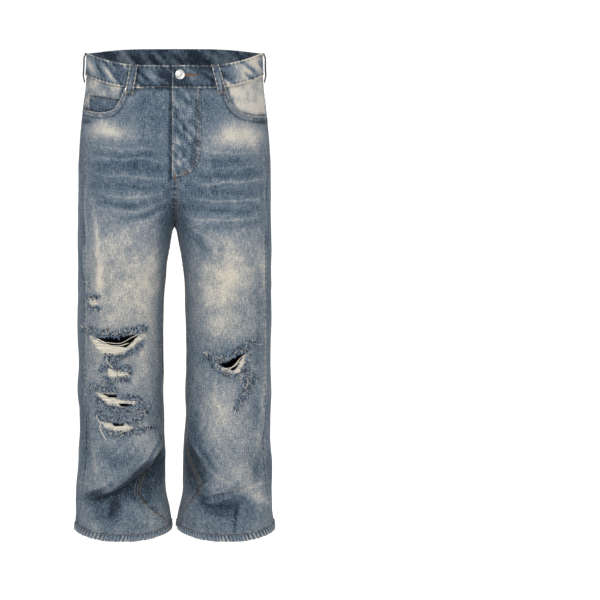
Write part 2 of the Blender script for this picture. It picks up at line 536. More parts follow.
# Rips: the holes, the cloth worn down to its bare weft, and the frayed edges as (line, side, length).
HOLES = {
    "front": [
        [(-166, -563), (-150, -569), (-136, -566), (-104, -564), (-72, -560), (-83, -572), (-101, -589),
         (-125, -587), (-148, -581), (-160, -573)],
        [(-152, -684), (-137, -686), (-119, -688), (-123, -695), (-139, -694)],
        [(-118, -706), (-88, -706), (-92, -712), (-112, -713)],
        [(-134, -746), (-120, -747), (-104, -747), (-108, -754), (-126, -754)],
        [(90, -624), (112, -618), (132, -605), (147, -601), (139, -614), (131, -631), (122, -638),
         (107, -632)],
    ],
    "back": [
        [(-86, -378), (-118, -366), (-160, -355), (-186, -352), (-188, -384), (-180, -401), (-142, -400),
         (-100, -392)],
    ],
}
BARE = {
    "front": [
        [(-178, -563), (-160, -573), (-148, -581), (-125, -587), (-101, -589), (-83, -572), (-72, -560),
         (-62, -564), (-76, -586), (-104, -599), (-120, -607), (-150, -601), (-165, -589), (-173, -575)],
        [(-141, -631), (-127, -637), (-97, -641), (-95, -649), (-123, -653), (-139, -650)],
        [(-166, -681), (-148, -683), (-118, -686), (-124, -696), (-112, -700), (-80, -699), (-82, -708),
         (-112, -715), (-140, -709), (-158, -694)],
        [(-156, -743), (-132, -747), (-104, -747), (-86, -757), (-96, -765), (-113, -768), (-132, -766),
         (-144, -758)],
        [(80, -618), (90, -624), (107, -632), (122, -638), (131, -631), (139, -614), (147, -601), (157, -601),
         (149, -620), (138, -639), (124, -646), (98, -638)],
        [(-180, -485), (-165, -486), (-160, -499), (-175, -502)],
        [(138, -645), (148, -649), (144, -668), (135, -661)],
    ],
    "back": [
        [(-72, -378), (-86, -372), (-100, -372), (-86, -378), (-100, -392), (-142, -400), (-114, -404),
         (-74, -388)],
        [(160, -955), (147, -953), (133, -958), (141, -966), (155, -962)],
        [(111, -952), (95, -955), (79, -944), (82, -961), (95, -968), (107, -961)],
        [(-81, -941), (-108, -957), (-155, -963), (-134, -971), (-113, -967), (-97, -958)],
        [(-141, -132), (-164, -133), (-165, -143), (-144, -144)],
        [(-112, -169), (-134, -168), (-135, -175), (-116, -177)],
    ],
}
FRAYS = {
    "front": [
        ([(-190, -551), (-167, -558), (-150, -562), (-118, -561), (-94, -556), (-62, -549)], 1, 6.5),
        ([(-66, -578), (-80, -591), (-98, -602), (-118, -610), (-134, -609)], -1, 5),
        ([(-143, -606), (-132, -616), (-118, -618)], -1, 5.5),
        ([(-155, -637), (-140, -630)], 1, 4.5), ([(-130, -632), (-99, -633), (-93, -643)], 1, 5),
        ([(-122, -656), (-96, -655)], -1, 5), ([(-148, -654), (-130, -665)], -1, 4.5),
        ([(-178, -670), (-160, -675), (-120, -682)], 1, 5.5),
        ([(-163, -697), (-141, -711), (-125, -717), (-102, -718), (-74, -712)], -1, 5.5),
        ([(-106, -694), (-76, -695), (-68, -708)], 1, 4.5),
        ([(-162, -721), (-153, -733), (-137, -739), (-113, -741), (-90, -742), (-71, -735),
          (-56, -717)], 1, 6.5),
        ([(-142, -761), (-125, -770), (-106, -770), (-76, -762), (-42, -756)], -1, 5),
        ([(68, -606), (92, -615), (108, -612), (130, -600), (146, -591), (172, -577)], 1, 6.5),
        ([(80, -624), (102, -640), (128, -648)], -1, 5),
        ([(154, -606), (148, -628), (141, -655), (147, -672), (137, -700), (130, -718)], 1, 5.5),
        ([(150, -640), (165, -650), (158, -672), (150, -692)], 1, 5),
        ([(-184, -482), (-160, -484)], 1, 4.5), ([(-181, -504), (-157, -507)], -1, 4.5),
    ],
    "back": [
        ([(-72, -374), (-91, -368), (-118, -361), (-164, -350), (-188, -341)], 1, 6),
        ([(-73, -390), (-99, -401), (-134, -409), (-191, -410)], -1, 6.5),
        ([(-189, -345), (-193, -372), (-192, -405)], 1, 6),
        ([(-73, -375), (-71, -388)], -1, 5.5),
        ([(160, -951), (133, -955)], 1, 4), ([(111, -948), (80, -941)], 1, 4),
        ([(155, -966), (91, -970)], -1, 3.5), ([(-78, -938), (-108, -953), (-155, -960)], 1, 4.5),
        ([(-86, -951), (-113, -969), (-150, -972)], -1, 4), ([(-140, -130), (-165, -132)], 1, 3),
        ([(-142, -149), (-165, -152)], -1, 4), ([(-110, -165), (-135, -165)], 1, 3),
        ([(-110, -180), (-137, -183)], -1, 3.5),
    ],
}
LOOSE = {
    "front": [
        [(-161, -727), (-162, -735), (-155, -748), (-156, -756), (-151, -769), (-142, -783)],
        [(-139, -632), (-128, -642), (-113, -667)],
        [(-143, -606), (-139, -622), (-127, -634)],
        [(-172, -566), (-150, -576), (-138, -579), (-113, -580), (-90, -568), (-74, -561)],
        [(-160, -570), (-140, -583), (-118, -586), (-96, -580)],
        [(112, -637), (126, -625), (138, -611), (152, -602)],
        [(104, -634), (124, -629), (136, -617)],
        [(70, -606), (64, -600), (60, -601)], [(-190, -548), (-196, -541)],
        [(146, -646), (153, -660), (147, -676)], [(129, -716), (124, -728)],
    ],
    "back": [
        [(-84, -380), (-76, -392), (-66, -402), (-64, -414)], [(-78, -376), (-66, -372), (-58, -376)],
        [(-90, -368), (-116, -378), (-140, -370), (-168, -376)],
        [(-96, -374), (-130, -384), (-160, -372), (-184, -380)],
        [(-105, -371), (-124, -388), (-150, -382), (-176, -366)],
        [(-120, -366), (-126, -378), (-120, -392)],
    ],
}

# The lists above are drawn on flat front and back views, seen from this far away and this far above.
VIEW_AWAY, VIEW_PITCH, VIEW_MIDDLE = 4000.0, math.radians(5.0), -490.0


def lifted(x, z, y):
    """Where a place on a flat view lies on cloth that comes y nearer than the middle of the body."""
    up, over = math.sin(VIEW_PITCH), math.cos(VIEW_PITCH)
    k = (z - VIEW_MIDDLE) / VIEW_AWAY
    rise = (VIEW_AWAY * k + y * (up - over * k)) / (over + up * k)
    return x * (VIEW_AWAY - over * y - up * rise) / VIEW_AWAY, rise + VIEW_MIDDLE


def placed(line, atlas):
    """Moves (x, z) places from the flat view onto the front or the back of the cloth."""
    moved = []
    for x, z, *rest in line:
        centre = float(centre_x(z))
        half = float(outer_x(z)) - centre
        if abs(x) < centre:
            half = centre - float(inner_x(z)) if z < CROTCH else 1e6
        depth = float((front_y if atlas == "front" else back_y)(z))
        share = min(abs(abs(x) - centre) / half, 0.97)
        y = depth * (1 - share ** SQUARENESS) ** (1 / SQUARENESS)
        moved.append((*lifted(x, z, y), *rest))
    return moved


for view in ("front", "back"):
    BLOBS[view] = placed(BLOBS[view], view)
    for table in (CREASES, STROKES, FRAYS):
        table[view] = [(placed(entry[0], view), *entry[1:]) for entry in table[view]]
    for table in (HOLES, BARE, LOOSE):
        table[view] = [placed(entry, view) for entry in table[view]]


def painted(points, atlas):
    """How much lighter and how much creamier the cloth is worn by its fades and whiskers."""
    x = points[..., 0] + 4 * noise2(points[..., 0], points[..., 2], 30, 1)
    z = points[..., 2] + 4 * noise2(points[..., 0], points[..., 2], 34, 2)
    uneven = 1 + 0.22 * noise2(points[..., 0], points[..., 2], 16, 3)
    fade, cream = np.zeros(x.shape), np.zeros(x.shape)
    for cx, cz, rx, rz, lighter, creamier, tilt in BLOBS[atlas]:
        m = (np.abs(x - cx) < 2.6 * max(rx, rz)) & (np.abs(z - cz) < 2.6 * max(rx, rz))
        c, s = math.cos(math.radians(tilt)), math.sin(math.radians(tilt))
        u = ((x[m] - cx) * c + (z[m] - cz) * s) / rx
        v = ((z[m] - cz) * c - (x[m] - cx) * s) / rz
        soft = np.exp(-(u * u + v * v)) * uneven[m]
        fade[m] += lighter * soft
        cream[m] += creamier * max(lighter, 0) * 2.4 * soft
    for line, width, lighter, creamier in STROKES[atlas]:
        m = close_to(x, z, line, 3 * width)
        if not m.any():
            continue
        d, along = near(x[m], z[m], line)
        soft = bell(d, width) * np.sin(np.pi * np.clip(along, 0.05, 0.95)) ** 0.5 * uneven[m]
        fade[m] += 1.2 * lighter * soft
        cream[m] += creamier * max(lighter, 0) * 2.4 * soft
    return fade, cream


def on_cut(across, along):
    """Places on the flat cut cloth, in metres, for its weave."""
    return np.stack(np.broadcast_arrays(across, along), -1) * MM


def outward(side, turn, z):
    step = 1.5
    low = z - step
    high = np.where((z + step > CROTCH) & (z < CROTCH), CROTCH, z + step)
    up = surface(side, turn, high) - surface(side, turn, low)
    most = np.where((z > CROTCH) & (turn > 0), 180, 1e9)
    least = np.where((z > CROTCH) & (turn < 0), -180, -1e9)
    ahead, behind = np.minimum(turn + step, most), np.maximum(turn - step, least)
    normal = np.cross(up, surface(side, ahead, z) - surface(side, behind, z))
    return SIDES[side] * unit(normal)


def cloth(side, turn, level, relief=1.0):
    """The finished cloth at turns and levels, with how light and creamy it is worn."""
    turn, level = np.broadcast_arrays(np.asarray(turn, float), np.asarray(level, float))
    z = height_at(side, turn, level)
    points, normal = surface(side, turn, z), outward(side, turn, z)
    facing = {"front": smoothstep(-normal[..., 1], 0.1, 0.5), "back": smoothstep(normal[..., 1], 0.1, 0.5)}
    out, down = np.zeros(turn.shape), np.zeros(turn.shape)
    fade, cream = np.zeros(turn.shape), np.zeros(turn.shape)
    for atlas, weight in facing.items():
        moved, dropped, wear = creases(points, atlas)
        lighter, creamier = painted(points, atlas)
        out += weight * moved
        down += weight * dropped
        fade += weight * (lighter + wear)
        cream += weight * creamier
    bearing = bearing_of(side, turn)
    around = bearing * LEG_RADIUS * math.pi / 180
    about = np.degrees(np.arctan2(points[..., 0] - SIDES[side] * centre_x(z), -points[..., 1]))
    folded = leg_folds(side, about, z)
    fade += 0.010 * np.maximum(folded, 0) - 0.030 * np.maximum(-folded, 0)
    bare_side = 1 - facing["front"] - facing["back"]
    # Soft drags run down and round the sides, as they do on the front and the back.
    drag = noise2(around + 0.35 * z, z * 0.35, 22, 5) * smoothstep(z, -180, -420)
    out += bare_side * (1.6 * drag + 2.2 * noise2(around, z, 60, 6) * smoothstep(z, -500, -800))
    fade += bare_side * (-0.07 + 0.05 * drag)
    out += 0.5 * noise2(around, z, 42, 7) + 0.22 * noise2(around, z, 13, 8)
    fade += 0.06 * noise2(around, z, 70, 9) + 0.055 * noise2(around, z * 0.6, 24, 10)
    fade += 0.055 * noise2(around, z * 0.5, 9, 11)
    points = points + normal * (out * relief)[..., None]
    points[..., 2] -= down * relief
    points[..., 0] = SIDES[side] * np.maximum(SIDES[side] * points[..., 0], 0.15)
    return points, fade, cream


def bearing_of(side, turn):
    return SIDES[side] * (90 - turn)


def equal_turns(side, level, start, end, shares):
    """Turns that lie at shares of the cloth's length between two turns, for each level."""
    fine = np.linspace(0, 1, 121)
    turns = start[:, None] + (end - start)[:, None] * fine
    points = surface(side, turns, level[:, None])
    steps = np.linalg.norm(np.diff(points, axis=1), axis=-1)
    gone = np.concatenate([np.zeros((len(level), 1)), np.cumsum(steps, 1)], 1)
    found = np.stack([np.interp(shares * gone[i, -1], gone[i], turns[i]) for i in range(len(level))])
    return found, gone[:, -1]


def grid_normals(points):
    """Unit normals of a grid of points, across its rows and columns."""
    normal = np.cross(np.gradient(points, axis=1), np.gradient(points, axis=0))
    return unit(normal)


# ---- Mesh making ----
def new_object(name, points, faces, materials, face_material=None, uv=None, values=None, sharp=None):
    """An object from millimetre points. uv and values are per point; sharp marks the flat faces."""
    mesh = bpy.data.meshes.new(name)
    points = np.asarray(points, float) * MM
    counts = np.array([len(f) for f in faces], np.int32) if isinstance(faces, list) else None
    if counts is None:
        counts = np.full(len(faces), faces.shape[1], np.int32)
        loops = faces.reshape(-1).astype(np.int32)
    else:
        loops = np.concatenate([np.asarray(f, np.int32) for f in faces])
    mesh.vertices.add(len(points))
    mesh.vertices.foreach_set("co", points.reshape(-1).astype(np.float32))
    mesh.loops.add(len(loops))
    mesh.loops.foreach_set("vertex_index", loops)
    mesh.polygons.add(len(counts))
    starts = np.concatenate([[0], np.cumsum(counts)[:-1]]).astype(np.int32)
    mesh.polygons.foreach_set("loop_start", starts)
    for material in materials:
        mesh.materials.append(material)
    mesh.update(calc_edges=True)
    smooth = np.ones(len(counts), bool) if sharp is None else ~sharp
    mesh.polygons.foreach_set("use_smooth", smooth)
    if face_material is not None:
        mesh.polygons.foreach_set("material_index", np.asarray(face_material, np.int32))
    if uv is not None:
        layer = mesh.uv_layers.new(name="cut")
        layer.data.foreach_set("uv", np.asarray(uv, np.float32)[loops].reshape(-1))
    for key, value in (values or {}).items():
        data = mesh.attributes.new(key, "FLOAT", "POINT")
        data.data.foreach_set("value", np.asarray(value, np.float32))
    mesh.validate()
    piece = bpy.data.objects.new(name, mesh)
    bpy.context.collection.objects.link(piece)
    return piece


def shell(name, outer, inner, keep, materials, uv, values):
    """A thin closed shell: an outer and an inner layer of a grid, joined round every edge."""
    rows, columns = outer.shape[:2]
    index = np.arange(rows * columns).reshape(rows, columns)
    left, right = index[:, :-1], index[:, 1:]
    quads = np.stack([left[:-1], right[:-1], right[1:], left[1:]], -1)[keep]
    # The edges that only one face uses get a rim.
    edges = np.concatenate([quads[:, [k, (k + 1) % 4]] for k in range(4)])
    codes = edges[:, 0].astype(np.int64) * (rows * columns) + edges[:, 1]
    back = edges[:, 1].astype(np.int64) * (rows * columns) + edges[:, 0]
    rim = edges[~np.isin(codes, back)]
    n = rows * columns
    faces = np.concatenate([quads, quads[:, ::-1] + n,
                            np.stack([rim[:, 1], rim[:, 0], rim[:, 0] + n, rim[:, 1] + n], -1)])
    kind = np.concatenate([np.zeros(len(quads)), np.ones(len(quads)), np.zeros(len(rim))])
    sharp = np.concatenate([np.zeros(2 * len(quads), bool), np.ones(len(rim), bool)])
    points = np.concatenate([outer.reshape(-1, 3), inner.reshape(-1, 3)])
    used = np.zeros(len(points), bool)
    used[faces.reshape(-1)] = True
    renumber = np.cumsum(used) - 1
    two = {k: np.concatenate([v.reshape(-1)] * 2)[used] for k, v in values.items()}
    flat = np.concatenate([uv.reshape(-1, 2)] * 2)[used]
    return new_object(name + "_sewn", points[used], renumber[faces], materials, kind, flat, two, sharp)


def tree_of(points, keep=None):
    rows, columns = points.shape[:2]
    index = np.arange(rows * columns).reshape(rows, columns)
    quads = np.stack([index[:-1, :-1], index[:-1, 1:], index[1:, 1:], index[1:, :-1]], -1)
    quads = quads.reshape(-1, 4) if keep is None else quads[keep]
    return BVHTree.FromPolygons(points.reshape(-1, 3).tolist(), quads.tolist())


def lay(trees, x, z, atlas):
    """Points and outward normals where lines along Y first meet the cloth, seen from front or back."""
    sign = -1 if atlas == "front" else 1
    points, normals = [], []
    for px, pz in zip(np.ravel(x), np.ravel(z)):
        # The seam at the centre has a hair's gap, so the line is cast just beside it.
        cast = math.copysign(max(abs(px), 1.5), px if px else 1)
        best, best_normal = None, None
        for tree in trees:
            hit, normal, _, _ = tree.ray_cast(Vector((cast, sign * 500, pz)), Vector((0, -sign, 0)))
            if hit is not None and (best is None or sign * hit.y > sign * best.y):
                best, best_normal = hit, normal
        if best is None:
            best, best_normal = Vector((cast, sign * 60, pz)), Vector((0, sign, 0))
        if best_normal.y * sign < 0:
            best_normal = -best_normal
        points.append((px, best.y, pz))
        normals.append(best_normal)
    shape = np.shape(x) + (3,)
    return np.array(points).reshape(shape), np.array(normals).reshape(shape)


def tubes(name, lines, radii, material, sides=5):
    """Thin round strands along lines of points, one mesh, pointed at their ends."""
    points, faces = [], []
    for line, radius in zip(lines, radii):
        line = np.asarray(line, float)
        n = len(line)
        tangent = unit(np.gradient(line, axis=0))
        helper = np.where(np.abs(tangent[:, :1]) > 0.8, [[0, 0, 1.0]], [[1.0, 0, 0]])
        one = unit(np.cross(tangent, helper))
        two = np.cross(tangent, one)
        thick = radius * np.where((np.arange(n) == 0) | (np.arange(n) == n - 1), 0.45, 1.0)
        start = len(points)
        for i in range(n):
            for k in range(sides):
                a = 2 * math.pi * k / sides
                points.append(line[i] + thick[i] * (math.cos(a) * one[i] + math.sin(a) * two[i]))
        for i in range(n - 1):
            for k in range(sides):
                m = (k + 1) % sides
                faces.append((start + i * sides + k, start + i * sides + m,
                              start + (i + 1) * sides + m, start + (i + 1) * sides + k))
        faces.append(tuple(start + k for k in reversed(range(sides))))
        faces.append(tuple(start + (n - 1) * sides + k for k in range(sides)))
    return new_object(name, np.array(points), faces, [material])


def run_along(points, normals, pitch):
    """Stitch places along a line: middles, directions and normals, one every pitch."""
    points, normals = np.asarray(points, float), np.asarray(normals, float)
    steps = np.linalg.norm(np.diff(points, axis=0), axis=1)
    gone = np.concatenate([[0], np.cumsum(steps)])
    count = max(1, int(gone[-1] / pitch))
    at = (np.arange(count) + 0.5) * gone[-1] / count

    def pick(values, where):
        return np.stack([np.interp(where, gone, values[:, k]) for k in range(3)], -1)

    middle = pick(points, at)
    ahead = unit(pick(points, at + 0.6) - pick(points, at - 0.6))
    up = pick(normals, at)
    up -= ahead * (up * ahead).sum(1, keepdims=True)
    up = unit(up)
    return middle, ahead, up


def stitches(name, runs, material, pitch=3.3, length=2.5, radius=0.42, lift=0.15):
    """Top-stitching along runs of (points, normals): each stitch dips into the cloth at both ends."""
    places = [run_along(p, n, pitch) for p, n in runs]
    middle = np.concatenate([p[0] for p in places])
    ahead = np.concatenate([p[1] for p in places])
    up = np.concatenate([p[2] for p in places])
    across = np.cross(ahead, up)
    rings = [(-0.5, 0.45, -0.5), (-0.32, 1, 0.15), (0.32, 1, 0.15), (0.5, 0.45, -0.5)]
    corners = [(1, 0), (0, 1), (-1, 0), (0, -1)]
    points = np.empty((len(middle), 16, 3))
    for i, (share, thick, height) in enumerate(rings):
        for k, (a, b) in enumerate(corners):
            points[:, i * 4 + k] = (middle + ahead * share * length + across * a * thick * radius
                                    + up * (lift + b * thick * radius + height * radius))
    base = [[i * 4 + k, i * 4 + (k + 1) % 4, (i + 1) * 4 + (k + 1) % 4, (i + 1) * 4 + k]
            for i in range(3) for k in range(4)]
    base += [[3, 2, 1, 0], [12, 13, 14, 15]]
    faces = (np.array(base)[None] + 16 * np.arange(len(middle))[:, None, None]).reshape(-1, 4)
    return new_object(name, points.reshape(-1, 3), faces, [material])


# ---- Materials ----
def linear(r, g, b):
    """Linear colour from display values 0 to 255."""
    def one(v):
        v /= 255
        return v / 12.92 if v <= 0.04045 else ((v + 0.055) / 1.055) ** 2.4
    return (one(r), one(g), one(b), 1.0)


class Wiring:
    """Adds nodes to a tree, and sets or links their inputs."""

    def __init__(self, tree):
        self.tree = tree
        tree.nodes.clear()

    def feed(self, socket, value):
        if isinstance(value, bpy.types.NodeSocket):
            self.tree.links.new(value, socket)
        else:
            socket.default_value = value

    def add(self, kind, *inputs, **named):
        node = self.tree.nodes.new(kind)
        for key in [k for k in named if hasattr(node, k)]:
            setattr(node, key, named.pop(key))
        for key, value in list(enumerate(inputs)) + list(named.items()):
            if value is None:
                continue
            self.feed(node.inputs[key.replace("_", " ") if isinstance(key, str) else key], value)
        return node

    def math(self, operation, a, b=None, c=None):
        return self.add("ShaderNodeMath", a, b, c, operation=operation).outputs[0]

    def mix(self, share, a, b, blend="MIX"):
        node = self.tree.nodes.new("ShaderNodeMix")
        node.data_type, node.blend_type = "RGBA", blend
        for socket, value in ((node.inputs[0], share), (node.inputs[6], a), (node.inputs[7], b)):
            self.feed(socket, value)
        return node.outputs[2]

    def stretched(self, vector, scale):
        return self.add("ShaderNodeMapping", vector, None, None, scale).outputs[0]

    def noise(self, vector, scale, detail=2.0, roughness=0.5):
        node = self.add("ShaderNodeTexNoise", vector, Scale=scale, Detail=detail, Roughness=roughness)
        return node.outputs[0]


def group(name, inputs, outputs):
    """A shader node group with named float, vector and colour sockets."""
    if name in bpy.data.node_groups:
        return bpy.data.node_groups[name], None, None, None
    tree = bpy.data.node_groups.new(name, "ShaderNodeTree")
    kinds = {"value": "NodeSocketFloat", "vector": "NodeSocketVector", "colour": "NodeSocketColor"}
    for label, kind, start in inputs:
        socket = tree.interface.new_socket(label, in_out="INPUT", socket_type=kinds[kind])
        if start is not None:
            socket.default_value = start
    for label, kind in outputs:
        tree.interface.new_socket(label, in_out="OUTPUT", socket_type=kinds[kind])
    w = Wiring(tree)
    return tree, w, w.add("NodeGroupInput").outputs, w.add("NodeGroupOutput").inputs


def twill_weave():
    """Diagonal ribs of a twill and the slubs of its yarns."""
    tree, w, into, out = group(
        "Twill Weave",
        [("Cut", "vector", None), ("Pitch", "value", 0.0011)],
        [("Rib", "value"), ("Slub", "value"), ("Speckle", "value")])
    if w is None:
        return tree
    parts = w.add("ShaderNodeSeparateXYZ", into["Cut"]).outputs
    slope = w.math("ADD", parts[0], w.math("MULTIPLY", parts[1], 0.55))
    wobble = w.math("MULTIPLY", w.noise(into["Cut"], 260, 1), 0.0007)
    turns = w.math("DIVIDE", w.math("ADD", slope, wobble), into["Pitch"])
    rib = w.math("SINE", w.math("MULTIPLY", turns, 2 * math.pi))
    w.feed(out["Rib"], w.math("MULTIPLY_ADD", rib, 0.5, 0.5))
    streak = w.noise(w.stretched(into["Cut"], (620, 70, 1)), 1, 2, 0.6)
    cross = w.noise(w.stretched(into["Cut"], (90, 520, 1)), 1, 2, 0.6)
    slub = w.math("ADD", w.math("MULTIPLY", streak, 0.62), w.math("MULTIPLY", cross, 0.38))
    w.feed(out["Slub"], slub)
    w.feed(out["Speckle"], w.noise(into["Cut"], 330, 3, 0.7))
    return tree


def washed_colour(colours):
    """Indigo from unwashed to bare: the fade is uneven from yarn to yarn."""
    tree, w, into, out = group(
        "Washed Indigo",
        [("Fade", "value", 0.5), ("Cream", "value", 0.0), ("Rib", "value", 0.5), ("Slub", "value", 0.5),
         ("Speckle", "value", 0.5), ("Grain", "value", 1.0)],
        [("Color", "colour"), ("Height", "value")])
    if w is None:
        return tree
    uneven = w.math("MULTIPLY", w.math("SUBTRACT", into["Slub"], 0.5), 1.45)
    spots = w.math("MULTIPLY", w.math("SUBTRACT", into["Speckle"], 0.5), 0.95)
    ribs = w.math("MULTIPLY", w.math("SUBTRACT", into["Rib"], 0.5), 0.10)
    grain = w.math("MULTIPLY", w.math("ADD", w.math("ADD", uneven, spots), ribs), into["Grain"])
    grain = w.math("MULTIPLY", grain, w.math("MULTIPLY_ADD", into["Fade"], -0.8, 1.38))
    level = w.math("ADD", into["Fade"], grain)
    ramp = w.add("ShaderNodeValToRGB", level)
    steps = ramp.color_ramp.elements
    steps[0].position, steps[0].color = 0.0, (*colours.unwashed, 1)
    steps[1].position, steps[1].color = 1.0, (*colours.bare, 1)
    for at, colour in ((0.25, colours.dark), (0.5, colours.denim), (0.75, colours.faded)):
        steps.new(at).color = (*colour, 1)
    tint = w.mix(into["Cream"], ramp.outputs[0], (*colours.tint, 1), "MULTIPLY")
    w.feed(out["Color"], tint)
    height = w.math("ADD", w.math("MULTIPLY", into["Rib"], 0.5), w.math("MULTIPLY", into["Slub"], 0.9))
    w.feed(out["Height"], height)
    return tree


def place(w, tree, **inputs):
    node = w.add("ShaderNodeGroup", node_tree=tree)
    for label, value in inputs.items():
        w.feed(node.inputs[label], value)
    return node.outputs


def principled(w, colour, roughness, height=None, strength=0.4, distance=0.0003, metallic=0.0):
    shader = w.add("ShaderNodeBsdfPrincipled", Roughness=roughness, Metallic=metallic)
    w.feed(shader.inputs["Base Color"], colour)
    if height is not None:
        bump = w.add("ShaderNodeBump", Strength=strength, Distance=distance)
        w.feed(bump.inputs["Height"], height)
        w.feed(shader.inputs["Normal"], bump.outputs[0])
    output = w.add("ShaderNodeOutputMaterial")
    w.feed(output.inputs[0], shader.outputs[0])
    return shader


def material(name):
    found = bpy.data.materials.get(name)
    if found:
        return found, None
    made = bpy.data.materials.new(name)
    made.use_nodes = True
    return made, Wiring(made.node_tree)


def denim_material():
    made, w = material("washed_denim")
    if w is None:
        return made
    colours = bpy.context.scene.jeans_colours
    cut = w.add("ShaderNodeUVMap", uv_map="cut").outputs[0]
    weave = place(w, twill_weave(), Cut=cut, Pitch=0.0011)
    fade = w.add("ShaderNodeAttribute", attribute_name="fade").outputs["Fac"]
    cream = w.add("ShaderNodeAttribute", attribute_name="cream").outputs["Fac"]
    cloudy = w.math("MULTIPLY", w.math("SUBTRACT", w.noise(cut, 95, 4, 0.7), 0.5), 0.27)
    cloudy = w.math("MULTIPLY", cloudy, w.math("MULTIPLY_ADD", fade, -1.0, 1.5))
    washed = place(w, washed_colour(colours), Fade=w.math("ADD", fade, cloudy), Cream=cream,
                   Rib=weave["Rib"], Slub=weave["Slub"], Speckle=weave["Speckle"])
    shader = principled(w, washed["Color"], 0.93, washed["Height"], 0.55, 0.00045)
    shader.inputs["Specular IOR Level"].default_value = 0.22
    shader.inputs["Sheen Weight"].default_value = 0.06
    shader.inputs["Sheen Roughness"].default_value = 0.6
    return made


def inside_material():
    made, w = material("unwashed_inside")
    if w is None:
        return made
    colours = bpy.context.scene.jeans_colours
    cut = w.add("ShaderNodeUVMap", uv_map="cut").outputs[0]
    weave = place(w, twill_weave(), Cut=cut, Pitch=0.0011)
    shade = w.math("MULTIPLY_ADD", weave["Slub"], 0.9, 0.1)
    colour = w.mix(shade, (*[c * 0.45 for c in colours.inside], 1), (*[c * 1.35 for c in colours.inside], 1))
    shader = principled(w, colour, 1.0, weave["Rib"], 0.4, 0.0003)
    shader.inputs["Specular IOR Level"].default_value = 0.1
    return made


def cloth_materials():
    return [denim_material(), inside_material()]


def thread_material(name, colour, spread=0.35):
    made, w = material(name)
    if w is None:
        return made
    spot = w.add("ShaderNodeTexCoord").outputs["Object"]
    tone = w.noise(spot, 900, 2, 0.6)
    patchy = w.noise(spot, 90, 2, 0.5)
    low, high = [c * (1 - spread) for c in colour], [min(1, c * (1 + spread)) for c in colour]
    share = w.math("MULTIPLY_ADD", w.math("ADD", tone, patchy), 1.2, -0.7)
    principled(w, w.mix(share, (*low, 1), (*high, 1)), 0.85, tone, 0.5, 0.0002)
    return made


def leather_material():
    made, w = material("bare_leather")
    if w is None:
        return made
    colour = bpy.context.scene.jeans_colours.leather
    spot = w.add("ShaderNodeTexCoord").outputs["Object"]
    cells = w.add("ShaderNodeTexVoronoi", spot, Scale=900.0).outputs[0]
    blotches = w.noise(spot, 55, 4, 0.6)
    fine = w.noise(spot, 420, 3, 0.6)
    low, high = [c * 0.72 for c in colour], [min(1, c * 1.2) for c in colour]
    share = w.math("MULTIPLY_ADD", blotches, 1.1, w.math("MULTIPLY_ADD", fine, 0.5, -0.3))
    rough = w.math("MULTIPLY_ADD", fine, 0.25, 0.42)
    shader = principled(w, w.mix(share, (*low, 1), (*high, 1)), 0.55,
                        w.math("ADD", w.math("MULTIPLY", cells, 0.6), fine), 0.35, 0.0003)
    w.tree.links.new(rough, shader.inputs["Roughness"])
    return made


def metal_material():
    made, w = material("satin_metal")
    if w is None:
        return made
    colour = bpy.context.scene.jeans_colours.metal
    spot = w.add("ShaderNodeTexCoord").outputs["Object"]
    fine = w.noise(spot, 700, 3, 0.6)
    patchy = w.noise(spot, 160, 3, 0.6)
    shade = w.mix(patchy, (*[c * 0.75 for c in colour], 1), (*colour, 1))
    shader = principled(w, shade, 0.3, fine, 0.1, 0.0001, 1.0)
    w.tree.links.new(w.math("MULTIPLY_ADD", patchy, 0.25, 0.2), shader.inputs["Roughness"])
    return made


def floor_material():
    made, w = material("pale_paper")
    if w is None:
        return made
    spot = w.add("ShaderNodeTexCoord").outputs["Object"]
    tone = w.noise(spot, 3, 2, 0.5)
    colour = bpy.context.scene.jeans_stage.paper
    principled(w, w.mix(tone, (*[c * 0.99 for c in colour], 1), (*colour, 1)), 0.9)
    return made


# ---- Settings a maker would change ----
class JeansCloth(bpy.types.PropertyGroup):
    spacing: bpy.props.FloatProperty(
        name="Mesh spacing", description="Distance between the points of the leg panels", default=0.0029,
        min=0.0015, max=0.01, unit="LENGTH")
    thickness: bpy.props.FloatProperty(
        name="Cloth thickness", description="Thickness of one layer of denim", default=0.0012,
        min=0.0006, max=0.002, unit="LENGTH")
    stitch_pitch: bpy.props.FloatProperty(
        name="Stitch pitch", description="Distance from one top-stitch to the next", default=0.0034,
        min=0.0025, max=0.006, unit="LENGTH")


def colour_setting(name, description, shade):
    return bpy.props.FloatVectorProperty(
        name=name, description=description, subtype="COLOR", size=3, min=0, max=1, default=linear(*shade)[:3])


class JeansColours(bpy.types.PropertyGroup):
    unwashed: colour_setting("Unwashed", "Indigo kept in the seams and folds", (25, 36, 49))
    dark: colour_setting("Dark", "Indigo in the whiskers' valleys", (57, 72, 88))
    denim: colour_setting("Denim", "The washed ground colour", (89, 104, 118))
    faded: colour_setting("Faded", "Where the wash has lifted the indigo", (136, 141, 146))
    bare: colour_setting("Bare", "Cloth worn down to the cream yarn", (194, 190, 181))
    tint: colour_setting("Cream tint", "Dirt and cream cast over the fades", (255, 250, 241))
    inside: colour_setting("Inside", "The unfaded inside of the cloth", (50, 57, 68))
    thread: colour_setting("Thread", "Top-stitching thread", (134, 118, 99))
    tack: colour_setting("Bartack", "Brown thread of the bartacks and buttonhole", (120, 94, 78))
    weft: colour_setting("Weft", "Bare cream yarn in the rips", (232, 225, 209))
    fray: colour_setting("Fray", "Blue yarn at the rips' edges", (112, 134, 156))
    leather: colour_setting("Leather", "The plain patch", (196, 134, 72))
    metal: colour_setting("Metal", "Button and rivets", (232, 232, 228))


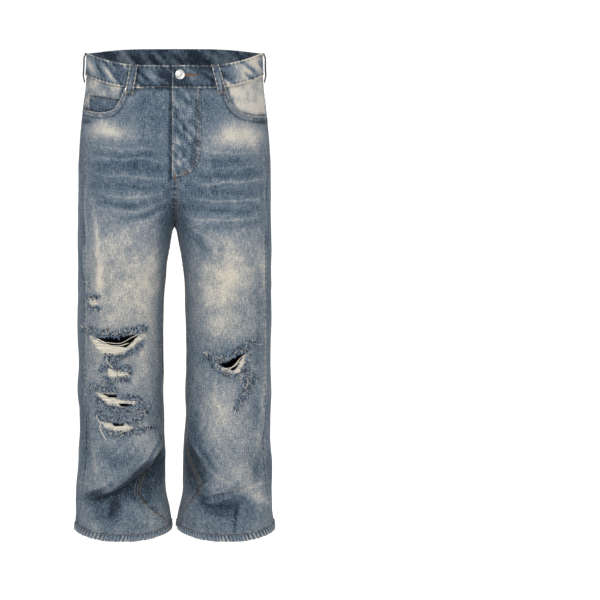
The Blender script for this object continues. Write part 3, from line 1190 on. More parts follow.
class JeansStage(bpy.types.PropertyGroup):
    lens: bpy.props.FloatProperty(
        name="Lens", description="Focal length of the camera in millimetres", default=114.6, min=20, max=300)
    distance: bpy.props.FloatProperty(
        name="Distance", description="How far the camera stands in front", default=4.0, unit="LENGTH")
    paper: colour_setting("Paper", "The pale floor and backdrop", (246, 246, 246))


# ---- Grids of the cut pieces ----
def panel_grid(side, at_front, spacing):
    """Turns and levels of a leg panel, from its side seam to its inseam, and how far each is from both."""
    # The foot of the panel runs a little way down inside the hem.
    bottom = HEM_EDGE + HEM_HEIGHT - 3.0
    top = UNDER_BAND if at_front else YOKE_AT_SIDE
    count = int((top - bottom) / spacing)
    level = np.linspace(top, bottom, count + 1)
    middle = 226.0 if at_front else 345.0
    columns = int(middle / spacing)
    edge = 1.0 / middle
    rims = [edge, 2.2 * edge, 1 - edge, 1 - 2.2 * edge]
    shares = np.unique(np.concatenate([np.linspace(0, 1, columns + 1), rims]))
    end = np.where(level > CROTCH, 180.0, inseam_turn[side](level)) - (0 if at_front else 360)
    turns, lengths = equal_turns(side, level, outseam_turn(level), end, shares)
    levels = np.repeat(level[:, None], len(shares), 1)
    if not at_front:
        # The top rows slant down to the yoke's point at the centre.
        slant = (YOKE_AT_CENTRE - YOKE_AT_SIDE) * shares ** 1.5
        levels = levels + slant * (1 - smoothstep(YOKE_AT_SIDE - levels, 0, 60))
    across = shares[None, :] * lengths[:, None]
    return turns, levels, across, lengths[:, None] - across


def snap(side, turns, levels, outlines, spacing):
    """Moves the points next to an outline onto it, and says which faces lie inside."""
    for outline in outlines:
        for _ in range(3):
            p = surface(side, turns, height_at(side, turns, levels))
            m = close_to(p[..., 0], p[..., 2], outline, 4)
            m &= p[..., 1] > 0 if outline_back(outline) else p[..., 1] < 0
            if not m.any():
                break
            x, z, t, l = p[m][:, 0], p[m][:, 2], turns[m], levels[m]
            target, best = onto_outline(x, z, outline)
            here = surface(side, t, height_at(side, t, l))
            by_turn = (surface(side, t + 0.2, height_at(side, t + 0.2, l)) - here) / 0.2
            by_level = (surface(side, t, height_at(side, t, l + 0.5)) - here) / 0.5
            det = by_turn[:, 0] * by_level[:, 2] - by_turn[:, 2] * by_level[:, 0]
            det = np.where(np.abs(det) < 0.05, np.nan, det)
            dx, dz = target[:, 0] - x, target[:, 1] - z
            dt = (dx * by_level[:, 2] - dz * by_level[:, 0]) / det
            dl = (dz * by_turn[:, 0] - dx * by_turn[:, 2]) / det
            move = (best < 0.5 * spacing) & np.isfinite(dt) & (np.abs(dt) < 3)
            turns[m] = np.where(move, t + np.nan_to_num(dt), t)
            levels[m] = np.where(move, l + np.nan_to_num(dl), l)
    return turns, levels


def outline_back(outline):
    return any(outline is o for o in HOLES["back"])


def kept_faces(points, outlines):
    keep = np.ones((points.shape[0] - 1, points.shape[1] - 1), bool)
    middle = (points[:-1, :-1] + points[1:, :-1] + points[:-1, 1:] + points[1:, 1:]) / 4
    for outline in outlines:
        back = outline_back(outline)
        own = middle[..., 1] > 0 if back else middle[..., 1] < 0
        keep &= ~(inside(middle[..., 0], middle[..., 2], outline) & own)
    return keep


def edge_wear(distance, along, seed):
    """Light and dark puckers beside a seam, and how far they lift the cloth."""
    rope = np.sin(along * 2 * math.pi / 11 + 2.4 * noise2(along, along * 0 + seed, 25, seed))
    lift = 0.35 * rope * bell(distance, 6) - 0.9 * bell(distance, 1.1)
    fade = (0.12 + 0.20 * rope) * bell(distance, 5) - 0.40 * bell(distance, 1.6)
    return lift, fade


# The curve of each front pocket's mouth, from the waistband to the side seam.
MOUTHS = {
    "right": [(-98.5, -40), (-99.5, -50), (-105, -61), (-111, -75), (-118, -87), (-127, -95.5), (-140, -99.5),
              (-153, -100), (-168, -98), (-182, -95), (-200, -92)],
    "left": [(103.5, -40), (104.5, -50), (107, -60), (110.5, -71), (115, -82), (122, -91), (132, -99),
             (143, -104), (158, -107), (175, -108), (187, -108), (204, -108)],
}


def mouth_outline(side):
    line = MOUTHS[side]
    sign = SIDES[side]
    return [(line[0][0], 20), *line, (sign * 240, line[-1][1]), (sign * 240, 20)]


# How far the bare yarn starts inside the worn outlines, and how wide the blue fray round it is.
BARE_INSET, FRAY_SPREAD = 0.8, 1.15


def rough_edges(points, atlas):
    """Cloth round the rips: lifted edges, bare weft and blue fray."""
    x, z = points[..., 0], points[..., 2]
    own = points[..., 1] < 0 if atlas == "front" else points[..., 1] > 0
    out, bare, blue = np.zeros(x.shape), np.zeros(x.shape), np.zeros(x.shape)
    rough = 1.6 * noise2(x, z, 3.5, 21) + 1.2 * noise2(x, z, 9, 22)
    for outline in BARE[atlas]:
        m = own & close_to(x, z, outline, 12)
        if not m.any():
            continue
        d = from_edge(x[m], z[m], outline) + 1.3 * rough[m] - BARE_INSET
        bare[m] = np.maximum(bare[m], smoothstep(d, -1.2, 1.4))
        out[m] += 0.9 * smoothstep(d, -6, 2) * (1 + 0.5 * noise2(x[m], z[m] * 2, 5, 23))
    for line, _, length in FRAYS[atlas]:
        m = own & close_to(x, z, line, 14)
        if not m.any():
            continue
        d, along = near(x[m], z[m], line)
        d = np.abs(d) + 0.8 * rough[m]
        soft = np.exp(-np.maximum(d, 0) ** 2 / (FRAY_SPREAD * length) ** 2)
        blue[m] = np.maximum(blue[m], soft)
        fluff = 1.7 + 0.9 * noise2(x[m], z[m], 3, 24) + 0.7 * noise2(x[m], z[m], 6, 25)
        out[m] += fluff * bell(d, length) * np.sin(np.pi * np.clip(along, 0.05, 0.95)) ** 0.5
    for outline in HOLES[atlas]:
        m = own & close_to(x, z, outline, 25)
        if m.any():
            d = -from_edge(x[m], z[m], outline)
            out[m] += 1.5 * np.exp(-np.maximum(d, 0) / 7)
    return out, bare, blue


FLY_OUTLINE = [(-5, -40), (-5, -228), (7, -229), (18, -227), (30, -221), (41, -210), (48.5, -197), (52, -180),
               (53, -150), (53, -40)]
BACK_POCKETS = {
    "left": [(79, -133), (85, -200), (92, -272), (112, -282), (134, -289), (152, -280), (169, -268),
             (175, -200), (179, -117), (130, -125)],
    "right": [(-61, -133), (-67, -200), (-75, -273), (-98, -284), (-121, -293), (-145, -283), (-167, -271),
              (-174, -200), (-178, -117), (-120, -126)],
}
# The thickness of the yokes and the pocket facings.
LAYER = 1.2
# Each piece's outer points with their tree, and each leg panel's distances from its two seams and levels.
UNCUT, SEAM_DISTANCE = {}, {}


def worn(fade, cream, brightest=1.1):
    """The two amounts of wear that the denim's colours read at each point."""
    return {"fade": np.clip(fade, 0, brightest), "cream": np.clip(cream, 0, 1)}


class Piece(bpy.types.Operator):
    """A cut and sewn piece of the jeans"""
    bl_options = {"REGISTER"}

    def execute(self, context):
        self.make()
        return {"FINISHED"}

    def done(self, piece, nodes, slot="denim"):
        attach(piece, "root")
        if nodes:
            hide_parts(*nodes)
        return piece


def seam_band(d):
    """A bright folded edge and the two dark stitched grooves beside it."""
    bright = 0.34 * bell(d - 0.8, 1.6) + 0.18 * bell(d - 5.8, 2.0)
    return bright - 0.30 * bell(d - 3.0, 1.2) - 0.32 * bell(d - 8.8, 1.5)


def meeting(from_in, levels):
    """How far the cloth above the crotch rolls over the centre, so that the two legs' edges meet."""
    return 1.3 * bell(from_in, 1.6) * smoothstep(levels, CROTCH - 3, CROTCH + 2)


def shadows(points, side, at_front, levels):
    """Dark unfaded lines where another piece lies over a leg panel: the waistband and the fly."""
    x, z = points[..., 0], points[..., 2]
    under_band = -0.36 * bell(np.maximum(WAIST_LEVEL - levels, 0), 3.6)
    if not at_front:
        pocket = from_edge(x, z, BACK_POCKETS[side])
        return under_band - 0.34 * bell(pocket + 1, 3.0)
    beside_fly = bell(x + 8.5, 3.6) * smoothstep(z, -244, -226)
    beyond_j = bell(np.abs(from_edge(x, z, FLY_OUTLINE)), 2.6) * (side == "left")
    return under_band - 0.44 * beside_fly - 0.20 * beyond_j


def sew_panel(side, at_front):
    setting = bpy.context.scene.jeans_cloth
    spacing = setting.spacing / MM * (0.93 if at_front else 1.04)
    turns, levels, from_out, from_in = panel_grid(side, at_front, spacing)
    whole = "front" if at_front else "back"
    outlines = [o for o in HOLES[whole] if (o[0][0] > 0) == (side == "left")]
    if at_front:
        outlines = outlines + [mouth_outline(side)]
    turns, levels = snap(side, turns, levels, outlines, spacing)
    points, fade, cream = cloth(side, turns, levels)
    base = surface(side, turns, height_at(side, turns, levels))
    normal = outward(side, turns, height_at(side, turns, levels))
    lift, bare, blue = rough_edges(base, whole)
    for distance, seed in ((from_out, 31), (from_in, 32)):
        pull, lighter = edge_wear(distance, levels, seed + 7 * at_front + 3 * (side == "left"))
        lift += pull
        fade += lighter * (0.5 if distance is from_out else 1.0)
    if at_front:
        lift = lift + 0.7 * smoothstep(11.5 - from_in, 0, 1.5) * (levels < CROTCH)
        line = MOUTHS[side]
        d = np.abs(near(base[..., 0], base[..., 2], line)[0])
        lift = lift + 0.9 * np.exp(-((d / 7) ** 3))
        pucker = noise2(base[..., 0] + base[..., 2], d, 6, 40)
        fade = fade + 0.42 * bell(d - 0.8, 1.7) - 0.26 * bell(d - 4.2, 1.5)
        fade = fade + (0.14 + 0.24 * pucker) * bell(d - 6.6, 2) - 0.30 * bell(d - 11, 2.4)
        # Deep blue dragged down from each mouth's outer end.
        out_x = np.abs(base[..., 0])
        fade = fade - 0.48 * np.exp(-(((out_x - 180) / 12) ** 2) - ((base[..., 2] + 118) / 6) ** 2)
    top = levels - levels[0:1]
    if not at_front:
        pull, lighter = edge_wear(-top, from_out, 55)
        lift, fade = lift + pull, fade + 0.3 * lighter + 1.5 * seam_band(-top)
        if side == "right":
            fade = fade + 1.2 * seam_band(from_in) * (levels > CROTCH)
    low = levels - levels[-1:]
    fade = fade + 0.10 * bell(low, 7) * (1 + noise2(from_out, low, 6, 61))
    points = points + normal * lift[..., None]
    points[..., 0] -= SIDES[side] * meeting(from_in, levels)
    fade = 0.5 + fade + shadows(base, side, at_front, levels)
    fluff = 0.42 + 0.42 * noise2(base[..., 0], base[..., 2] * 1.3, 3.4, 62)
    fluff = fluff + 0.24 * noise2(base[..., 0], base[..., 2], 6, 64)
    fade = fade * (1 - 0.85 * blue) + 0.85 * blue * fluff
    cream = cream * (1 - blue) + 0.4 * smoothstep(-base[..., 2], 330, 450) * (1 - 0.7 * blue)
    fade = fade * (1 - bare) + bare * (0.98 + 0.10 * noise2(base[..., 0] * 0.4, base[..., 2] * 2.2, 3, 63))
    cream = np.clip(cream * (1 - bare) + 0.5 * bare, 0, 1)
    final = grid_normals(points)
    final *= np.sign((final * normal).sum())
    thickness = setting.thickness / MM
    inner = points - final * thickness
    keep = kept_faces(base, outlines)
    uv = on_cut(from_out, levels)
    name = f"{whole}_panel_{side}"
    UNCUT[name] = (points, tree_of(points))
    SEAM_DISTANCE[name] = (from_out, from_in, levels)
    return shell(name, points, inner, keep, cloth_materials(), uv,
                 worn(fade, cream, 1.15))


class JEANS_OT_panels(Piece):
    """Cut and shape the four leg panels, with their creases, fades and rips"""
    bl_idname = "jeans.panels"
    bl_label = "Leg Panels"

    def make(self):
        for side in SIDES:
            for at_front in (True, False):
                piece = sew_panel(side, at_front)
                self.done(piece, [piece.name.removesuffix("_sewn")])


def waist_ring():
    turns = 180 - 3.0 * np.arange(121)
    points = surface("left", turns, waist_tilt(turns))
    steps = np.linalg.norm(np.diff(points, axis=0), axis=1)
    return turns, np.concatenate([[0], np.cumsum(steps)])


WAIST_TURNS, WAIST_LENGTHS = waist_ring()
HALF_WAIST = float(WAIST_LENGTHS[-1])


def waist_point(length, above, distance):
    """A place on the waistband, at a length round from the centre front towards the wearer's left."""
    length, above, distance = np.broadcast_arrays(*(np.asarray(v, float) for v in (length, above, distance)))
    wrapped = np.mod(length, 2 * HALF_WAIST)
    left = wrapped <= HALF_WAIST
    turn = np.interp(np.where(left, wrapped, 2 * HALF_WAIST - wrapped), WAIST_LENGTHS, WAIST_TURNS)
    z = waist_tilt(turn) + above
    point = surface("left", turn, z) + outward("left", turn, z) * distance[..., None]
    point[..., 0] = np.where(left, 1, -1) * np.maximum(point[..., 0], 0.15)
    return point


def strip(name, points, materials, inside_from, uv, values, closed=False):
    """A solid strip: rows along it, columns round its section.

    Columns from inside_from on are inside cloth."""
    rows, columns = points.shape[:2]
    index = np.arange(rows * columns).reshape(rows, columns)
    below = np.roll(index, -1, 0) if closed else index[1:]
    above = index if closed else index[:-1]
    quads = np.stack([above, np.roll(above, -1, 1), np.roll(below, -1, 1), below], -1)
    kinds = np.zeros(quads.shape[:2], int)
    kinds[:, inside_from:] = 1
    quads, kinds = quads.reshape(-1, 4), kinds.reshape(-1)
    p = points.reshape(-1, 3)
    a, b, c = p[quads[:, 0]], p[quads[:, 1]], p[quads[:, 3]]
    centre = np.repeat(points.mean(1), columns, 0).reshape(rows, columns, 3)
    middles = (centre if closed else centre[:-1]).reshape(-1, 3)
    outwards = (np.cross(b - a, c - a) * (a - middles)).sum()
    faces = quads.tolist() if outwards > 0 else quads[:, ::-1].tolist()
    kinds = kinds.tolist()
    sharp = [False] * len(faces)
    if not closed:
        ends = [index[0].tolist()[::-1], index[-1].tolist()]
        faces += ends if outwards > 0 else [e[::-1] for e in ends]
        kinds += [0, 0]
        sharp += [True, True]
    flat = {k: np.asarray(v).reshape(-1) for k, v in values.items()}
    return new_object(name + "_sewn", p, faces, materials, kinds, uv.reshape(-1, 2), flat, np.array(sharp))


LAP, LAP_EDGE = 35.0, -5.0
LAP_SINK = 2 * BAND_HALF + 0.5
BAND_LENGTH = 2 * HALF_WAIST + LAP - LAP_EDGE
BAND_WEAR = {
    "front": [(-190, 0.50), (-170, 0.56), (-140, 0.50), (-115, 0.40), (-90, 0.34), (-45, 0.26), (0, 0.18),
              (40, 0.12), (75, 0.22), (95, 0.56), (125, 0.70), (165, 0.74), (190, 0.66)],
    "back": [(-190, 0.54), (-120, 0.50), (-60, 0.44), (-25, 0.36), (0, 0.46), (30, 0.40), (70, 0.46),
             (120, 0.44), (190, 0.54)],
}


LOOPS = {
    "belt_loop_front_left": (87, 9.5, 9), "belt_loop_front_right": (-85, 9.5, -5),
    "belt_loop_side_left": (238, 3.4, 0), "belt_loop_side_right": (-238, 3.4, 0),
    "belt_loop_back": (HALF_WAIST, 9.5, 0),
}


def band_relief(length, above):
    """Diagonal puckers between the waistband's two rows of stitches."""
    drag = noise2(length + 1.1 * above, above * 0.5, 11, 71)
    drag = drag + 0.6 * noise2(length + 0.8 * above, above, 24, 72)
    rope = np.sin(length * 2 * math.pi / 9.5 + 2 * noise2(length, above * 0, 30, 73))
    edge = bell(np.abs(above) - 20.5, 4)
    return 0.75 * drag + 0.35 * rope * edge - 0.35 * bell(np.abs(above) - BAND_STITCH, 1.2), drag, rope * edge


class JEANS_OT_waistband(Piece):
    """Fold and lap the waistband, open at the top and buttoned at the front"""
    bl_idname = "jeans.waistband"
    bl_label = "Waistband"

    def make(self):
        outer = [(22.9 - 1.905 * i, BAND_HALF) for i in range(25)]
        profile = outer + [(-23.35, 0.8), (-23.5, 0), (-23.3, -0.8)]
        first_inside = len(profile) - 1
        profile += [(-22.4 + 2.8 * i, -BAND_HALF) for i in range(17)]
        profile += [(23.3, -0.8), (23.5, 0), (23.35, 0.8)]
        along = np.linspace(LAP_EDGE, LAP_EDGE + BAND_LENGTH, 351)
        above = np.array([p[0] for p in profile])[None, :]
        distance = np.array([p[1] for p in profile])[None, :]
        under = smoothstep(along, 2 * HALF_WAIST - 60, 2 * HALF_WAIST - 12)[:, None]
        relief, drag, rope = band_relief(along[:, None], above)
        outside, within = distance > 1.0, distance < -1.0
        pulled = noise2(along[:, None] - 0.9 * above, above * 0.4, 13, 76)
        depth = distance + np.where(outside, relief * (1 - under), 0) + np.where(within, 1.1 * pulled, 0)
        points = waist_point(along[:, None], above, depth - LAP_SINK * under)
        x = points[..., 0]
        front = points[..., 1] < 0
        fade = np.zeros(x.shape)
        for atlas, own in (("front", front), ("back", ~front)):
            known = np.array(BAND_WEAR[atlas])
            fade += own * np.interp(x, known[:, 0], known[:, 1])
        fade = fade + np.where(front, 0.42, 0.18) * drag + 0.28 * rope
        fade = fade + 0.08 * noise2(along[:, None], above, 20, 74)
        fade = fade + ~front * 0.22 * smoothstep(-above, -4, 14)
        # The belt loops keep the band beside them dark.
        for at, _, _ in LOOPS.values():
            beside_loop = np.abs(np.mod(along[:, None] - at + HALF_WAIST, 2 * HALF_WAIST) - HALF_WAIST) - 9.5
            fade = fade - 0.26 * bell(beside_loop, 2.4)
        fade = fade + 0.46 * bell(above + 22.4, 1.9) + 0.30 * bell(above - 22.8, 1.6)
        fade = fade - 0.24 * bell(np.abs(above) - 18.6, 1.5)
        # The lapped end: a bright folded edge, and its shadow on the cloth below.
        from_lap = along[:, None] - LAP_EDGE
        fade = fade + 0.50 * bell(from_lap, 2.2) - 0.16 * bell(from_lap - 6, 2.4)
        fade = fade - 0.34 * bell(along[:, None] - LAP_EDGE - 2 * HALF_WAIST + 3, 5)
        within_wear = 0.24 + 0.34 * pulled + 0.14 * noise2(along[:, None], above, 7, 77)
        fade = np.where(within, within_wear, fade)
        cream = np.clip((fade - 0.5) * 1.6, 0, 1)
        uv = on_cut(along[:, None], above)
        piece = strip("waistband", points, [denim_material()] * 2, first_inside, uv,
                      {"fade": fade, "cream": cream})
        UNCUT["waistband"] = (points[:, :25], tree_of(points[:, :25]))
        self.done(piece, ["waistband"])


def loop_point(name, across, share, up):
    """A place on a belt loop: across its width, down its length, and up through its thickness."""
    at, gap, lean = LOOPS[name]
    bulge = gap * smoothstep(share, 0, 0.2) * smoothstep(1 - share, 0, 0.26)
    above = WAISTBAND_HEIGHT / 2 + (WAIST_LEVEL - 14 - WAISTBAND_HEIGHT / 2) * share
    return waist_point(at + lean * (share - 0.5) + across, above, BAND_HALF + 0.5 + bulge + up)


class JEANS_OT_belt_loops(Piece):
    """Fold the five belt loops and stand them off the waistband"""
    bl_idname = "jeans.belt_loops"
    bl_label = "Belt Loops"

    def make(self):
        section = [(-7.5, 1.0), (-7.1, 1.8), (-5.4, 2.0), (-4, 1.8), (-2, 2.0), (0, 2.05), (2, 2.0),
                   (4, 1.8), (5.4, 2.0), (7.1, 1.8), (7.5, 1.0), (7.1, 0.2), (3, 0), (-3, 0), (-7.1, 0.2)]
        across = np.array([s[0] for s in section])[None, :]
        up = np.array([s[1] for s in section])[None, :]
        share = np.linspace(0, 1, 31)[:, None]
        for i, name in enumerate(LOOPS):
            rope = np.sin(share * 40 + i) * bell(np.abs(across) - 6, 2)
            lifted = up + np.where(up > 1.5, 0.25 * rope, 0) + 0.4 * np.sin(share * 5 + i)
            points = loop_point(name, across, share, lifted)
            at_side = "side" in name
            fade = 0.46 + 0.30 * rope + 0.22 * noise2(across * 3 + 50 * i, share * 61, 12, 75)
            fade = fade + (0.42 if not at_side else 0) * smoothstep(np.abs(across), 5.4, 7.0)
            fade = fade - 0.36 * bell(np.abs(across) - 4.4, 1.2) - 0.42 * at_side + 0.16 * ("back" in name)
            fade = fade + 0.10 * bell(share - 0.5, 0.2) - 0.10 * (1 - share) + 0 * across
            lifted = lifted + 1.2 * at_side * (up > 1)
            uv = on_cut(across, share * 61)
            piece = strip(name, points, cloth_materials(), 11, uv,
                          {"fade": fade, "cream": np.clip((fade - 0.5) * 1.3, 0, 1)})
            self.done(piece, [name])


class JEANS_OT_yokes(Piece):
    """Shape the two back yokes between the waistband and the back panels"""
    bl_idname = "jeans.yokes"
    bl_label = "Yokes"

    def make(self):
        shares = np.linspace(0, 1, 76)
        for side in SIDES:
            middle = np.linspace(WAIST_LEVEL, YOKE_AT_SIDE, 27)
            turns, lengths = equal_turns(side, middle, outseam_turn(middle), np.full(27, -180.0), shares)
            bottom = YOKE_AT_SIDE + (YOKE_AT_CENTRE - YOKE_AT_SIDE) * shares ** 1.5
            down = np.linspace(0, 1, 27)[:, None]
            levels = UNDER_BAND + (bottom - UNDER_BAND) * down
            points, fade, cream = cloth(side, turns, levels)
            normal = outward(side, turns, height_at(side, turns, levels))
            across = shares * lengths[:, None]
            lift, bright = 0, 0
            for d, along, seed in ((across, levels, 81), (lengths[:, None] - across, levels, 82),
                                   (levels - bottom, across, 83)):
                pull, lighter = edge_wear(d, along, seed)
                lift, bright = lift + pull, bright + lighter
            points = points + normal * lift[..., None]
            points[..., 0] -= SIDES[side] * meeting(lengths[:, None] - across, levels)
            fade = 0.62 + fade + bright + shadows(points, side, False, levels)
            final = grid_normals(points)
            final *= np.sign((final * normal).sum())
            inner = points - final * LAYER
            keep = np.ones((26, 75), bool)
            uv = on_cut(across, levels)
            name = "yoke_" + side
            UNCUT[name] = (points, tree_of(points))
            piece = shell(name, points, inner, keep, cloth_materials(), uv,
                          worn(fade, cream))
            self.done(piece, [name])


class JEANS_OT_hems(Piece):
    """Turn up and rope the hem of each leg"""
    bl_idname = "jeans.hems"
    bl_label = "Hems"

    def make(self):
        outer = [(HEM_EDGE + HEM_HEIGHT + 0.6 - 1.4 * i, 1.3) for i in range(10)]
        profile = outer + [(HEM_EDGE + 0.1, 0.7), (HEM_EDGE - 0.4, -0.7), (HEM_EDGE + 0.1, -2.0)]
        profile += [(HEM_EDGE + 2 + 4 * i, -2.6) for i in range(4)] + [(HEM_EDGE + HEM_HEIGHT + 0.4, -1.8)]
        level = np.array([p[0] for p in profile])
        out = np.array([p[1] for p in profile])[None, :]
        for side in SIDES:
            start, end = float(outseam_turn(HEM_EDGE)), float(outseam_turn(HEM_EDGE)) + 360
            shares = np.linspace(0, 1, 241)[:-1]
            foot = np.array([HEM_EDGE + 7.0])
            turns, lengths = equal_turns(side, foot, np.array([start]), np.array([end]), shares)
            turns = np.where(turns[0] > 180, turns[0] - 360, turns[0])[:, None]
            along = (shares * lengths[0])[:, None]
            points, fade, cream = cloth(side, turns + 0 * level[None, :], level[None, :] + 0 * turns)
            level_here = level[None, :] + 0 * turns
            normal = outward(side, turns + 0 * level[None, :], height_at(side, turns, level_here))
            low = (HEM_EDGE + HEM_HEIGHT - level[None, :]) / HEM_HEIGHT
            rope = np.sin(2 * math.pi * (along + 5 * low) / 7.5 + 4.5 * noise2(along, along * 0, 22, 91))
            rope = rope * (0.55 + 0.45 * noise2(along, low * 3, 17, 90))
            outside = out > 0
            lift = out + np.where(outside, 0.7 * rope * (0.4 + 0.6 * low) - 0.6 * bell(low - 0.16, 0.08), 0)
            points = points + normal * lift[..., None]
            chewed = noise2(along, low * 6, 5, 92)
            points[..., 2] += (low > 0.9) * 0.9 * chewed
            fade = 0.52 + 0.5 * fade + 0.44 * rope * outside + 0.30 * smoothstep(low, 0.75, 1.0)
            fade = fade + 0.2 * smoothstep(chewed, 0.45, 0.8)
            fade = fade - 0.34 * bell(low - 0.02, 0.09) - 0.16 * bell(low - 0.3, 0.08)
            back = points[..., 1] > 0
            fade = fade + back * 0.22 * smoothstep(noise2(along, low * 8, 7, 93), 0.2, 0.5) * (low > 0.3)
            uv = on_cut(along, level[None, :])
            values = worn(fade, cream + (fade > 0.7) * 0.4)
            piece = strip("hem_" + side, points, cloth_materials(), 12, uv, values, closed=True)
            UNCUT["hem_" + side] = (points[:, :10], tree_of(np.concatenate([points, points[:1]])[:, :10]))
            self.done(piece, ["hem_" + side])


# ---- Patches: pieces cut to an outline in the front or back view, and laid on the cloth below ----
def smoothed(values, times=2):
    for _ in range(times):
        padded = np.pad(values, ((1, 1), (1, 1), (0, 0)), mode="edge")
        round_it = padded[:-2, 1:-1] + padded[2:, 1:-1] + padded[1:-1, :-2] + padded[1:-1, 2:]
        values = (round_it + 2 * values) / 6
    return values


def patch(name, outline, atlas, on, gap, thick, wear, spacing=2.6, turned_edge=0.5):
    """A piece of cloth with an outline, laid over others. wear(x, z, edge distance) says how it is faded."""
    loop = np.array(outline, float)
    low, high = loop.min(0) - spacing, loop.max(0) + spacing
    x, z = np.meshgrid(np.arange(low[0], high[0], spacing), np.arange(high[1], low[1], -spacing))
    target, best = onto_outline(x, z, outline)
    near_edge = best < 0.55 * spacing
    x, z = np.where(near_edge, target[..., 0], x), np.where(near_edge, target[..., 1], z)
    points, normals = lay([UNCUT[n][1] for n in on], x, z, atlas)
    normals = smoothed(normals, 3)
    normals = unit(normals)
    points[..., 1] = smoothed(points[..., 1:2], 1)[..., 0]
    edge = np.maximum(from_edge(x, z, outline), 0)
    rope = np.sin((x + z) * 2 * math.pi / 9 + 2 * noise2(x, z, 20, 95))
    puff = thick * (turned_edge + (1 - turned_edge) * smoothstep(edge, 0, 2.0))
    puff = puff + 0.25 * rope * bell(edge - 4, 3) + 0.5 * bell(edge - 5, 2.4)
    puff = puff + 0.3 * noise2(x, z, 16, 96) * smoothstep(edge, 4, 12)
    outer = points + normals * (gap + puff)[..., None]
    inner = points + normals * gap
    mx = (x[:-1, :-1] + x[1:, 1:] + x[:-1, 1:] + x[1:, :-1]) / 4
    mz = (z[:-1, :-1] + z[1:, 1:] + z[:-1, 1:] + z[1:, :-1]) / 4
    keep = inside(mx, mz, outline)
    fade, cream = wear(outer, edge, rope)
    uv = on_cut(x, z)
    UNCUT[name] = (outer, tree_of(outer, keep))
    return shell(name, outer, inner, keep, cloth_materials(), uv, worn(fade, cream))


def curved(*corners, steps=8):
    """A smooth curve through corner points (Catmull-Rom)."""
    p = np.array(corners, float)
    p = np.concatenate([[2 * p[0] - p[1]], p, [2 * p[-1] - p[-2]]])
    out = []
    for i in range(1, len(p) - 2):
        for k in range(steps):
            t = k / steps
            out.append(0.5 * (2 * p[i] + (p[i + 1] - p[i - 1]) * t
                              + (2 * p[i - 1] - 5 * p[i] + 4 * p[i + 1] - p[i + 2]) * t * t
                              + (3 * p[i] - p[i - 1] - 3 * p[i + 1] + p[i + 2]) * t ** 3))
    return [tuple(q) for q in out] + [tuple(p[-2])]


COIN_OUTLINE = [(-104, -72), (-104, -124), (-176, -124), (-176, -60), (-140, -66)]


class JEANS_OT_fly(Piece):
    """Lay the J-shaped fly over the centre front seam"""
    bl_idname = "jeans.fly"
    bl_label = "Fly"

    def make(self):
        def wear(points, edge, rope):
            x, z = points[..., 0], points[..., 2]
            fade, cream = painted(points, "front")
            fade = 0.42 + 0.5 * fade + 0.20 * rope * bell(edge - 3, 3) + 0.30 * bell(edge, 2.2)
            fade = fade - 0.20 * bell(z + 52, 5)
            # Buttons behind the fly wear pale spots along its edge.
            for bx, bz in ((6, -88), (9, -121), (8, -162), (10, -203), (32, -96), (30, -150)):
                bent = x + 0.5 * (z - bz) + 3 * noise2(x, z, 7, 41)
                fade = fade + 0.26 * np.exp(-(((bent - bx) / 4.5) ** 2 + ((z - bz) / 9) ** 2))
                fade = fade - 0.24 * np.exp(-(((bent - bx - 7) / 4.5) ** 2 + ((z - bz + 11) / 9) ** 2))
            for stitched in (44, 50):
                fade = fade - 0.34 * bell(x - stitched, 1.6) * (z > -190)
            fade = fade + 0.14 * bell(x - 47, 1.8) * (z > -190)
            fade = fade + 0.26 * noise2(x + 0.4 * z, z * 0.6, 8, 97)
            return fade, cream + np.clip(fade - 0.55, 0, 1)

        piece = patch("fly", FLY_OUTLINE, "front", FRONTS, 0.3, 1.9, wear, spacing=2.2)
        self.done(piece, ["fly"])


class JEANS_OT_facings(Piece):
    """Set the pocket facings behind the front pocket mouths"""
    bl_idname = "jeans.facings"
    bl_label = "Pocket Facings"

    def make(self):
        for side in SIDES:
            level = np.linspace(UNDER_BAND, -132, 46)
            shares = np.linspace(0, 1, 91)
            turns, lengths = equal_turns(side, level, outseam_turn(level), np.full(46, 180.0), shares)
            # Only the part from the side seam to just past the pocket's mouth is cloth.
            turns, shares = turns[:, :56], shares[:56]
            levels = np.repeat(level[:, None], 56, 1)
            points, fade, _ = cloth(side, turns, levels, 0.3)
            normal = outward(side, turns, height_at(side, turns, levels))
            across = lengths[:, None] * shares[None, :]
            sink = 1.2 + 2.2 * smoothstep(across, 0, 12)
            outer = points - normal * sink[..., None]
            inner = points - normal * (sink + LAYER)[..., None]
            x, z = points[..., 0], points[..., 2]
            d, _ = near(x, z, MOUTHS[side])
            d = np.abs(d)
            fade = (1.0 if side == "left" else 0.76) + 0.4 * fade - 0.52 * bell(d, 6)
            fade = fade + 0.16 * noise2(x, z, 15, 98) + 0.10 * noise2(x, z * 0.4, 5, 89)
            fade = fade - 0.16 * smoothstep(-z, 84, 96) * (side == "right")
            uv = on_cut(across, levels)
            name = "pocket_facing_" + side
            UNCUT[name] = (outer, tree_of(outer))
            keep = np.ones((45, 55), bool)
            piece = shell(name, outer, inner, keep, cloth_materials(), uv,
                          worn(fade, 0 * fade + 0.4, 1))
            self.done(piece, [name], "denim_inside")


